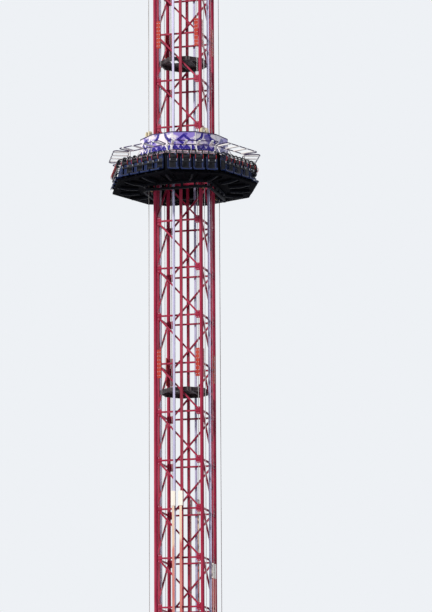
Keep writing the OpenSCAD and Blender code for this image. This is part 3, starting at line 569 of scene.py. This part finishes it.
def fastener_tree(name, low_sides, high_sides, sizes):
    """A fastener of two short drums, one on the other: washer and head, or a rivet's flange and crown."""
    tree, given = opened_tree(name, {**sizes, "Finish": None})
    both = add(tree, "GeometryNodeJoinGeometry")
    base = 0.0
    for sides, radius, height in ((low_sides, "Low radius", "Low height"),
                                  (high_sides, "High radius", "High height")):
        drum = add(tree, "GeometryNodeMeshCylinder",
                   {"Vertices": sides, "Radius": given[radius], "Depth": given[height]})
        middle = add(tree, MATH, [given[height], 0.5, base], operation="MULTIPLY_ADD")
        lift = add(tree, "ShaderNodeCombineXYZ", {"Z": middle})
        layer = add(tree, "GeometryNodeTransform", {"Geometry": drum, "Translation": lift})
        tree.links.new(layer.outputs["Geometry"], both.inputs["Geometry"])
        base = given[height]
    stood = stood_on_places(tree, given, both)
    dressed = add(tree, "GeometryNodeSetMaterial", {"Geometry": stood, "Material": given["Finish"]})
    add(tree, "NodeGroupOutput", {"Pieces": dressed})
    return tree


HEX_BOLTS = fastener_tree("hex_bolts", 12, 6, {"Low radius": 0.011, "Low height": 0.003,
                                               "High radius": 0.009, "High height": 0.009})
RIVETS = fastener_tree("rivets", 10, 10, {"Low radius": 0.007, "Low height": 0.0018,
                                          "High radius": 0.0045, "High height": 0.0018})


def repeated(name, tree, places, body, sizes=None):
    """What a tree makes, stood at places as one plain piece; fasteners point along Z and are zinc-plated."""
    obj = make_piece(name, [m.translation for m in places], [], [])
    turns = obj.data.attributes.new("turn", "FLOAT_VECTOR", "POINT")
    turns.data.foreach_set("vector", [a for m in places for a in m.to_euler()])
    given = {**(sizes or {}), "Finish": BOLT}
    modifier = obj.modifiers.new(name, "NODES")
    modifier.node_group = tree
    for item in tree.interface.items_tree:
        if item.in_out == "INPUT" and item.name in given:
            modifier[item.identifier] = given[item.name]
    return settle(obj, body)


def copied(name, template, body, places):
    """Copies of a finished template at places, as one plain piece in the template's own finishes."""
    tree, given = opened_tree(name + "_places", {})
    info = add(tree, "GeometryNodeObjectInfo", {"Object": template}, transform_space="ORIGINAL")
    pieces = stood_on_places(tree, given, info.outputs["Geometry"])
    which = add(tree, "GeometryNodeInputMaterialIndex")
    for k, material in enumerate(template.data.materials):
        mine = add(tree, "FunctionNodeCompare", {2: which, 3: k}, data_type="INT", operation="EQUAL")
        pieces = add(tree, "GeometryNodeSetMaterial",
                     {"Geometry": pieces, "Selection": mine, "Material": material})
    add(tree, "NodeGroupOutput", {"Pieces": pieces})
    obj = repeated(name, tree, places, body)
    bpy.data.objects.remove(template)
    return obj


def facing(point, normal, spin=0.0):
    """A place at point whose Z axis points along normal."""
    z = Vector(normal).normalized()
    turn = z.to_track_quat("Z", "Y").to_matrix().to_4x4()
    return Matrix.Translation(point) @ turn @ Matrix.Rotation(spin, 4, "Z")


# Bolts on the tower
OUT = (0, -1, 0)
UP = (0, 0, 1)
SPLICE_BOLT_X = 0.5437
SPLICE_BOLT_ASIDE = 0.030
SPLICE_BOLT_STEP = 0.108
SPLICE_FACE = 0.034
NODE_BOLT_X = 0.5397
NODE_BOLT_UP = 0.075
NODE_FACE = 0.007
BASE_BOLT = 0.2
BASE_TOP = 0.040

# bolts through the splice plates, two columns of seven on each plate
places = [face_place(i) @ facing((side * SPLICE_BOLT_X + aside, -SPLICE_FACE,
                                  level(k) + (n - 3) * SPLICE_BOLT_STEP), OUT, 0.3 * n)
          for k in SPLICES for i in range(FACES) for side in (-1, 1)
          for aside in (-SPLICE_BOLT_ASIDE, SPLICE_BOLT_ASIDE) for n in range(7)]
repeated("splice_bolts", HEX_BOLTS, places, "tower")

# four smaller bolts through each node plate
places = [face_place(i) @ facing((side * (NODE_BOLT_X + aside), -NODE_FACE, level(k) + up), OUT, 0.2 * k)
          for i in range(FACES) for k in range(PANELS + 1) if k not in SPLICES
          for side in (-1, 1) for up in (-NODE_BOLT_UP, NODE_BOLT_UP) for aside in (0.025, -0.020)]
repeated("node_bolts", HEX_BOLTS, places, "tower",
         {"Low radius": 0.009, "High radius": 0.0075, "High height": 0.008})

# anchor nuts on the base plates
places = [facing((sx * COL + dx, sy * COL + dy, BASE_TOP), UP, 0.4)
          for sx in (-1, 1) for sy in (-1, 1)
          for dx in (-BASE_BOLT, BASE_BOLT) for dy in (-BASE_BOLT, BASE_BOLT)]
repeated("anchor_nuts", HEX_BOLTS, places, "tower",
         {"Low radius": 0.034, "Low height": 0.006, "High radius": 0.027, "High height": 0.024})


# Seats
def smooth_line(points, count):
    """Count points along a Catmull-Rom line through points of two or three numbers."""
    pts = [Vector((*p, 0)) if len(p) == 2 else Vector(p) for p in points]
    pts = [pts[0] * 2 - pts[1]] + pts + [pts[-1] * 2 - pts[-2]]
    out = []
    for n in range(count):
        t = n / (count - 1) * (len(pts) - 3)
        k = min(int(t), len(pts) - 4)
        t -= k
        a, b, c, d = pts[k:k + 4]
        out.append(0.5 * (2 * b + (c - a) * t + (2 * a - 5 * b + 4 * c - d) * t * t
                          + (3 * b - a - 3 * c + d) * t ** 3))
    return out


# the seat's middle line from the front lip to the crown, outward from the wall and up
SEAT_STEPS = 30
SEAT_LINE = smooth_line([(0.268, 0.180), (0.275, 0.204), (0.266, 0.224), (0.225, 0.234), (0.150, 0.226),
                         (0.092, 0.222), (0.066, 0.236), (0.056, 0.268), (0.052, 0.360), (0.048, 0.470),
                         (0.045, 0.560), (0.043, 0.630), (0.036, 0.672), (0.024, 0.689)], SEAT_STEPS)
BACK_REACH = 0.1
CROWN_FROM = 0.52
CROWN_RUN = 0.17
CROWN_SLIM = 0.46
WING = 0.018
WING_FROM = 0.58
DISH = 0.005
SHELL_WALL = 0.013


def between(x):
    """x held between 0 and 1."""
    return max(0.0, min(1.0, x))


def on_seat(k, u, lift=0.0):
    """A point over the seat's skin: step k of its middle line from lip to crown, u from side to side."""
    k = min(k, SEAT_STEPS - 1)
    p = SEAT_LINE[k]
    ahead = SEAT_LINE[min(k + 1, SEAT_STEPS - 1)] - SEAT_LINE[max(k - 1, 0)]
    normal = Vector((ahead.y, -ahead.x, 0)).normalized()
    # the back narrows to its crown
    rise = between((p.y - CROWN_FROM) / CROWN_RUN) if p.x < BACK_REACH else 0.0
    half = SEAT_W / 2 * (1 - CROWN_SLIM * rise ** 1.6)
    # the wings stand twice as high beside the back, and run out at the lip and the crown
    wing = WING + WING * between((0.16 - p.x) / 0.1)
    wing *= between((k / SEAT_STEPS - 0.06) / 0.16) * (1 - 0.55 * rise)
    edge = max(0.0, (abs(u) - WING_FROM) / (1 - WING_FROM))
    q = p + normal * (wing * edge ** 1.7 - DISH * (1 - u * u) + lift)
    return Vector((q.x, half * math.copysign(abs(u) ** 0.92, u), q.y))


def grid_faces(rows, columns):
    """The faces of a grid of points, row by row."""
    return [(k * columns + n, k * columns + n + 1, (k + 1) * columns + n + 1, (k + 1) * columns + n)
            for k in range(rows - 1) for n in range(columns - 1)]


def seat_template():
    """One moulded seat: pan, back and side wings in one skin, drawn with X outward from the wall."""
    across = 12
    verts = [on_seat(k, 2 * n / (across - 1) - 1) for k in range(SEAT_STEPS) for n in range(across)]
    obj = make_piece("seat_template", verts, grid_faces(SEAT_STEPS, across), [SHELL])
    wall = obj.modifiers.new("skin_thickness", "SOLIDIFY")
    wall.thickness = SHELL_WALL
    wall.offset = -1
    rounder = obj.modifiers.new("soft_form", "SUBSURF")
    rounder.levels = rounder.render_levels = 1
    return obj


CUSHION_RISE = 0.012
SEAM_DEPTH = 0.004
SEAM_AT = 0.45
SEAM_HALF = 0.13
TUCK = 0.005


def cushion(first, last, reach):
    """A domed cushion on steps first to last of the seat, with two seams down it and its edge tucked in."""
    across = 13
    rows = 2 * (last - first) + 1
    top, under = [], []
    for r in range(rows):
        for c in range(across):
            along = 2 * r / (rows - 1) - 1
            aside = 2 * c / (across - 1) - 1
            dome = (1 - along ** 6) * (1 - aside ** 6)
            seam = max(0.0, 1 - abs(abs(aside) - SEAM_AT) / SEAM_HALF)
            lift = 0.001 + (CUSHION_RISE - SEAM_DEPTH * seam) * dome
            for skin_points, over in ((top, lift), (under, -TUCK)):
                low, high = (on_seat(first + r // 2 + n, aside * reach, over) for n in (0, 1))
                skin_points.append(low.lerp(high, r % 2 / 2))
    rim = list(range(across)) + [r * across + across - 1 for r in range(1, rows)]
    rim += [(rows - 1) * across + c for c in range(across - 2, -1, -1)]
    rim += [r * across for r in range(rows - 2, 0, -1)]
    n = rows * across
    faces = grid_faces(rows, across)
    faces += [tuple(n + v for v in face) for face in faces]
    faces += [(a, b, n + b, n + a) for a, b in zip(rim, rim[1:] + rim[:1])]
    return top + under, faces, 0


shells = copied("seat_shells", seat_template(), "ring_car", all_seats(SEAT_R))
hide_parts("seat_backs", "seat_pans")

# a seat, a back and a head cushion in each shell
template = drawn("cushion_template", [cushion(3, 10, 0.60), cushion(13, 22, 0.60), cushion(24, 28, 0.50)],
                 [VINYL], crease=50)
cushions = copied("seat_cushions", template, "ring_car", all_seats(SEAT_R))

# frames that carry each seat off its wall
back_plate = block((0.001, -0.105, 0.20), (0.026, 0.105, 0.655))
pan_arm = block((0.001, -0.030, 0.176), (0.235, 0.030, 0.206))
template = drawn("seat_frame_template", [(*back_plate, 0), (*pan_arm, 0)], [CHASSIS_BLACK])
copied("seat_frames", eased(template, 0.004), "ring_car", all_seats(SEAT_R))


# Restraints
def bezier(c, n):
    """A cubic Bezier curve from four control points, in n steps."""
    c = [Vector(p) for p in c]
    return [((1 - t) ** 3 * c[0] + 3 * (1 - t) ** 2 * t * c[1] + 3 * (1 - t) * t * t * c[2] + t ** 3 * c[3])
            for t in (k / n for k in range(n + 1))]


# the middle line of one arm, from its shaft over the shoulder and down to the lap bar
ARM_HALF = SEAT_W / 2 - 0.056
ARM_BEND = bezier([(0.092, 0, 0.004), (0.170, 0, 0.004), (0.204, 0, -0.060), (0.200, 0, -0.190)], 9)
ARM_LINE = [Vector((0.010, 0, 0.001)), Vector((0.060, 0, 0.004)), *ARM_BEND,
            Vector((0.196, 0, -0.25)), Vector((0.190, 0, -0.316))]
ROLL_R = 0.0205
ROLL_STEPS = 26
GROOVE = 0.0018
BAR_R = 0.012
GRIP_R = 0.0070
GRIP_RIB = 0.0012
GRIP_STEPS = 21


def restraint_pads():
    """The foam of one restraint, drawn about its shaft: shoulder rolls, a chest roll and a lap roll."""
    parts = []
    for side in (-1, 1):
        roll = smooth_line([p + Vector((0, side * ARM_HALF, 0)) for p in ARM_LINE[1:-1]], ROLL_STEPS)
        # a moulded groove ties the roll in at every fifth step
        radii = [ROLL_R * (0.72 + 0.28 * math.sin(math.pi * k / (ROLL_STEPS - 1)) ** 0.35)
                 - (GROOVE if k % 5 == 0 else 0) for k in range(ROLL_STEPS)]
        parts.append((*sweep(roll, radii, 14), 0))
    chest = smooth_line([(0.196, -ARM_HALF, -0.186), (0.206, -0.045, -0.190), (0.209, 0, -0.192),
                         (0.206, 0.045, -0.190), (0.196, ARM_HALF, -0.186)], 17)
    half_chest = [0.022, 0.022, 0.029, 0.030, 0.030, 0.0282, 0.030, 0.030]
    parts.append((*sweep(chest, half_chest + [0.030] + half_chest[::-1], 14, flat=1.45), 0))
    lap = mirrored(((0.110, 0.012), (0.107, 0.018), (0.090, 0.0205), (0.049, 0.0205), (0.045, 0.0188),
                    (0.041, 0.0205)))
    parts.append((*turned_bar(lap, 0.190, -0.316, 14), 0))
    return parts


def restraint_bars():
    """The bars and hub sleeve of one restraint, with its two ribbed grips."""
    parts = []
    for side in (-1, 1):
        core = [p + Vector((0, side * ARM_HALF, 0)) for p in ARM_LINE]
        parts.append((*sweep(core, [BAR_R] * len(core), 10), 0))
        out, far = side * (ARM_HALF + 0.010), side * (ARM_HALF + 0.014)
        grip = smooth_line([(0.202, out, -0.130), (0.236, far, -0.140), (0.243, far, -0.185),
                            (0.236, far, -0.228), (0.200, out, -0.238)], GRIP_STEPS)
        parts.append((*sweep(grip, [GRIP_R - GRIP_RIB * (k % 2) for k in range(GRIP_STEPS)], 8), 1))
    sleeve = mirrored(((0.115, 0.0175), (0.113, 0.0188), (0.060, 0.0188), (0.058, 0.0165)))
    parts.append((*turned_bar(sleeve, 0, 0, 20), 0))
    return parts


def along_row(parts, j):
    """Parts drawn about their shaft, once at each seat of row j."""
    return [(*moved(part, seat_place(j, i, SHAFT_X, SHAFT_Z)), part[2])
            for i in range(SEATS) for part in parts]


PADS = restraint_pads()
BARS = restraint_bars()
for j in range(ROWS):
    for name, parts, finishes, slot in (("restraint_pads", PADS, [FOAM], "pad_black"),
                                        ("restraint_bars", BARS, [BAR, HANDLE], "shaft_steel")):
        piece = drawn("%s_%d" % (name, j + 1), along_row(parts, j), finishes, crease=50)
        aboard(piece, "restraint_%d" % (j + 1))
        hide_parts("restraints_%d" % (j + 1))


# Wheels
WHEEL_R = 0.055
WHEEL_GAP = 0.0004
WHEEL_X = COL * math.sqrt(2) + COLUMN_R + WHEEL_GAP + WHEEL_R
# a low and a high wheel run on each column
WHEEL_LEVELS = (-0.040, DRUM_Z - 0.0361)
WHEEL_STEPS = 40
# half of the wheel's outline: radius, and distance from its middle plane
WHEEL_HALF = [(0.016, 0.034), (0.024, 0.034), (0.026, 0.028), (0.034, 0.022), (0.040, 0.022), (0.043, 0.028),
              (0.050, 0.028), (0.0535, 0.022), (0.0548, 0.012), (WHEEL_R, 0.0)]
# the faces of the whole outline that are tread; the others are hub
TREAD_FACES = range(5, 13)


def wheel_template():
    """One guide wheel: a turned hub with a cast tread, its axle along Y."""
    outline = WHEEL_HALF + [(r, -h) for r, h in reversed(WHEEL_HALF[:-1])]
    n = len(outline)
    verts, faces, index = [], [], []
    for s in range(WHEEL_STEPS):
        a = math.tau * s / WHEEL_STEPS
        t = (s + 1) % WHEEL_STEPS
        for k, (r, h) in enumerate(outline):
            q = (k + 1) % n
            verts.append(Vector((r * math.cos(a), -h, r * math.sin(a))))
            faces.append((s * n + k, s * n + q, t * n + q, t * n + k))
            index.append(0 if k in TREAD_FACES else 1)
    obj = make_piece("wheel_template", verts, faces, [TREAD, HUB], index)
    face_outwards(obj)
    crease_edges(obj, 30)
    return obj


spots = [Matrix.Rotation(math.radians(225 + 90 * i), 4, "Z") @ Matrix.Translation((WHEEL_X, 0, CAR_Z + z))
         for i in range(FACES) for z in WHEEL_LEVELS]
wheels = copied("guide_wheel_tyres", wheel_template(), "ring_car", spots)
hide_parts("guide_wheels")

# Roof and drum fittings
SLOPE = math.atan2(0.213, 0.503)
UP_ROOF = (math.sin(SLOPE), 0, math.cos(SLOPE))
ROOF_FOOT = SEAT_R - 0.012
ROOF_FOOT_Z = BACK_TOP + 0.010
HALF_COS = math.cos(ROW_STEP / 2)
HALF_SIN = math.sin(ROW_STEP / 2)
STRIP_HALF = 0.022
STRIP_FOOT = (SEAT_R - 0.016) / HALF_COS
STRIP_TOP = 1.215 / HALF_COS
STRIP_DROP = STRIP_HALF * math.tan(SLOPE) * HALF_SIN
STRIP_GAP = 0.001
STRIP_WALL = 0.004
STRIP_RIVET_Y = 0.013
STRIP_RIVET_UP = 0.0045
POST_CLEAR = 0.04
ROOF_RIVET_R = SEAT_R - 0.030
ROOF_RIVET_STEP = 0.108


def roof_z(apothem):
    """Height of the roof's skin over the ring car's floor, at a distance square out from the axis."""
    return ROOF_FOOT_Z + (ROOF_FOOT - apothem) * math.tan(SLOPE)


# cover strips folded over the roof's corners, with rivets down both flanges
parts, places = [], []
for j in range(ROWS):
    turn = on_car(ROW_STEP * j)
    ring = []
    for r in (STRIP_FOOT, STRIP_TOP):
        fold = roof_z(r * HALF_COS) + 2 * STRIP_GAP
        foot = fold - STRIP_DROP - STRIP_GAP
        ring += [(r, -STRIP_HALF, foot), (r, 0, fold), (r, STRIP_HALF, foot),
                 (r, STRIP_HALF, foot + STRIP_WALL), (r, 0, fold + STRIP_WALL),
                 (r, -STRIP_HALF, foot + STRIP_WALL)]
    ends = [(5, 4, 3, 2, 1, 0), (6, 7, 8, 9, 10, 11)]
    parts.append((*moved((ring, hoop(6) + ends), turn), 0))
    for n in range(6):
        r = STRIP_FOOT + (STRIP_TOP - STRIP_FOOT) * (n + 0.6) / 6.2
        if abs(r - CANOPY_IN / HALF_COS) < POST_CLEAR:
            continue
        places += [turn @ facing((r, y, roof_z(r * HALF_COS) + STRIP_RIVET_UP), UP_ROOF)
                   for y in (-STRIP_RIVET_Y, STRIP_RIVET_Y)]
aboard(drawn("roof_cover_strips", parts, [ROOF]), "ring_car")

# rivets along the foot of each roof panel
foot_rivets = [facing((ROOF_RIVET_R, (n - 6) * ROOF_RIVET_STEP, roof_z(ROOF_RIVET_R)), UP_ROOF)
               for n in range(13)]
places += [on_car(ROW_STEP * (j + 0.5)) @ rivet for j in range(ROWS) for rivet in foot_rivets]
repeated("roof_rivets", RIVETS, places, "ring_car")

# rivets round the four edges of each drum panel, which leans in by DRUM_LEAN over its height
DRUM_COS = math.cos(math.pi / DRUM_SIDES)
DRUM_FOOT = DRUM_R * DRUM_COS - 0.006
DRUM_LEAN = DRUM_TAPER * DRUM_COS
DRUM_DECK = 0.012
DRUM_RIVET_STEP = 0.082
DRUM_RIVET_Y = 0.294
RIVET_EDGE = 0.03
edge_rivets = [((n - 3.5) * DRUM_RIVET_STEP, v) for v in (RIVET_EDGE, 1 - RIVET_EDGE) for n in range(8)]
edge_rivets += [(y, RIVET_EDGE + (1 - 2 * RIVET_EDGE) * n / 6)
                for n in range(1, 6) for y in (-DRUM_RIVET_Y, DRUM_RIVET_Y)]
places = [on_car(math.tau / DRUM_SIDES * (i + 0.5), DRUM_Z + DRUM_DECK)
          @ facing((DRUM_FOOT - DRUM_LEAN * v, y, DRUM_H * v), (DRUM_H, 0, DRUM_LEAN))
          for i in range(DRUM_SIDES) for y, v in edge_rivets]
repeated("drum_rivets", RIVETS, places, "ring_car")

# white slats over the seats, each clamped round the two tubes of its frame
TUBE_R = 0.014
SLAT_HALF = 0.032
SLAT_UP = 0.016
clamp = mirrored(((SLAT_HALF, TUBE_R + 0.002), (SLAT_HALF - 0.002, TUBE_R + 0.0045)))
parts = [(*turned_bar(clamp, end, CANOPY_Z, 16), 0) for end in (CANOPY_IN, CANOPY_OUT)]
parts.append((*block((CANOPY_IN + TUBE_R, -SLAT_HALF, CANOPY_Z - SLAT_UP),
                     (CANOPY_OUT - TUBE_R, SLAT_HALF, CANOPY_Z + SLAT_UP)), 0))
template = drawn("slat_template", parts, [WHITE], crease=40)
slats = copied("canopy_slats", eased(template, 0.005), "ring_car", all_seats())
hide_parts("canopy_bars")

# slanting stays with round feet, from the drum's corners down to the roof
STAY_FOOT = 1.440
STAY_R = 0.011
stay_high = Vector((DRUM_R - 0.030, 0, DRUM_Z + 0.250))
parts = []
for i in range(DRUM_SIDES):
    turn = on_car(math.tau / DRUM_SIDES * i)
    # how far out the foot stands, counted square to its own roof panel
    from_middle = (math.tau / DRUM_SIDES * i - ROW_STEP / 2) % ROW_STEP
    apothem = STAY_FOOT * math.cos(min(from_middle, ROW_STEP - from_middle))
    low = Vector((STAY_FOOT, 0, roof_z(apothem) + 0.004))
    stay = [low, low + (stay_high - low) * 0.5, stay_high]
    foot = [low - Vector((0, 0, 0.003)), low + Vector((0, 0, 0.008))]
    parts.append((*moved(sweep(stay, [STAY_R] * 3, 12), turn), 0))
    parts.append((*moved(sweep(foot, [0.028, 0.026], 16), turn), 0))
aboard(drawn("drum_stays", parts, [WHITE], crease=35), "ring_car")

# folded trims over the seams between the row walls
TRIM_FLANGE = 0.012
TRIM_GAP = 0.0002
TRIM_OUT = 0.0025
TRIM_FOOT = 0.150
parts = []
for j in range(ROWS):
    outline = []
    for skin_r, order in ((SEAT_R + TRIM_GAP, (-1, 0, 1)), (SEAT_R + TRIM_OUT, (1, 0, -1))):
        for side in order:
            corner = Vector((skin_r / HALF_COS, 0, 0))
            along = Vector((-HALF_SIN, side * HALF_COS, 0))
            outline.append(corner + TRIM_FLANGE * abs(side) * along)
    ring = [p + Vector((0, 0, z)) for z in (TRIM_FOOT, BACK_TOP - 0.002) for p in outline]
    ends = [(0, 1, 4, 5), (1, 2, 3, 4), (6, 7, 10, 11), (7, 8, 9, 10)]
    parts.append((*moved((ring, hoop(6) + ends), on_car(ROW_STEP * j)), 0))
aboard(drawn("wall_corner_trims", parts, [CHASSIS_BLACK]), "ring_car")

# radial ribs under the bottom pan, in the pan's black that is darkened as painted shade
PAN_RIBS = 32
RIB_IN = 1.30
RIB_OUT = 1.79
RIB_HALF = 0.006
RIB_H = 0.045
rib = block((RIB_IN, -RIB_HALF, PAN_Z - RIB_H), (RIB_OUT, RIB_HALF, PAN_Z - 0.001))
parts = [(*moved(rib, on_car(math.tau / PAN_RIBS * (n + 0.5))), 0) for n in range(PAN_RIBS)]
aboard(drawn("pan_ribs", parts, [PAN_BLACK_AND_SHADE]), "ring_car")

# Floor and backdrop
# a smooth painted studio floor: pale, with the faintest unevenness
FLOOR_HALF = 400
FLOOR, floor_tree, floor_shader = finish("studio_floor_pale_paint", "#D6D9DD", 0.9)
paint = laid_over(floor_tree, "#D6D9DD", (patches(floor_tree, 4000, 0.3, 0.7), "#D9DBDF"))
skin(floor_tree, floor_shader, paint, patches(floor_tree, 3000, 0.3, 0.7), (0.85, 0.95),
     relief=patches(floor_tree, 50, 0.3, 0.7), strength=0.02, depth_mm=1.0)
corners = [(x * FLOOR_HALF, y * FLOOR_HALF, -0.002) for x, y in ((-1, -1), (1, -1), (1, 1), (-1, 1))]
make_piece("studio_floor", corners, [(0, 1, 2, 3)], [FLOOR], smooth=False)

# the backdrop is pale where it is seen or mirrored; a softer sky fills the shadows
world = bpy.data.worlds.new("studio_world")
bpy.context.scene.world = world
world.use_nodes = True
air = world.node_tree
air.nodes.clear()
rays = add(air, "ShaderNodeLightPath").outputs
direct = add(air, MATH, [rays["Is Camera Ray"], rays["Is Glossy Ray"]], operation="MAXIMUM")
seen = add(air, MATH, [direct, rays["Is Transmission Ray"]], operation="MAXIMUM")
fill = add(air, "ShaderNodeBackground", {"Color": linear("#DDE4FF"), "Strength": 0.30})
backdrop = add(air, "ShaderNodeBackground", {"Color": linear("#EEF1F5"), "Strength": 1.0})
sky = add(air, "ShaderNodeMixShader", [seen, fill, backdrop])
add(air, "ShaderNodeOutputWorld", {"Surface": sky})


# Lamps and camera
def lamp(name, azimuth, elevation, strength, softness, colour):
    """A sun lamp from azimuth, counted from the front towards the right, and elevation, in degrees."""
    data = bpy.data.lights.new(name, "SUN")
    data.energy = strength
    data.angle = math.radians(softness)
    data.color = colour
    obj = bpy.data.objects.new(name, data)
    bpy.context.scene.collection.objects.link(obj)
    a, e = math.radians(azimuth), math.radians(elevation)
    towards = Vector((math.sin(a) * math.cos(e), -math.cos(a) * math.cos(e), math.sin(e)))
    obj.rotation_euler = towards.to_track_quat("Z", "Y").to_euler()
    obj.location = towards * 60


lamp("key_lamp", -34, 36, strength=3.1, softness=6, colour=(1.0, 0.96, 0.90))
lamp("rim_lamp", 150, 20, strength=0.35, softness=30, colour=(0.85, 0.90, 1.0))

# the photograph was taken from near the ground, a little to the right of the front, with a long lens
VIEW_AZIMUTH = 15.6
VIEW_DISTANCE = 88.66
VIEW_HEIGHT = 0.8
VIEW_PITCH = 11.66
VIEW_YAW = 0.555
VIEW_ROLL = -0.32
VIEW_ANGLE = 10.62

camera_data = bpy.data.cameras.new("photo_camera")
camera_data.sensor_fit = "VERTICAL"
camera_data.angle = math.radians(VIEW_ANGLE)
camera_data.clip_start = 1.0
camera_data.clip_end = 2000.0
camera = bpy.data.objects.new("photo_camera", camera_data)
bpy.context.scene.collection.objects.link(camera)
a = math.radians(VIEW_AZIMUTH)
stand = Vector((VIEW_DISTANCE * math.sin(a), -VIEW_DISTANCE * math.cos(a), VIEW_HEIGHT))
camera.matrix_world = (Matrix.Translation(stand) @ Matrix.Rotation(a - math.radians(VIEW_YAW), 4, "Z")
                       @ Matrix.Rotation(math.radians(90 + VIEW_PITCH), 4, "X")
                       @ Matrix.Rotation(math.radians(VIEW_ROLL), 4, "Z"))
bpy.context.scene.camera = camera
bpy.context.scene.view_settings.view_transform = "Standard"
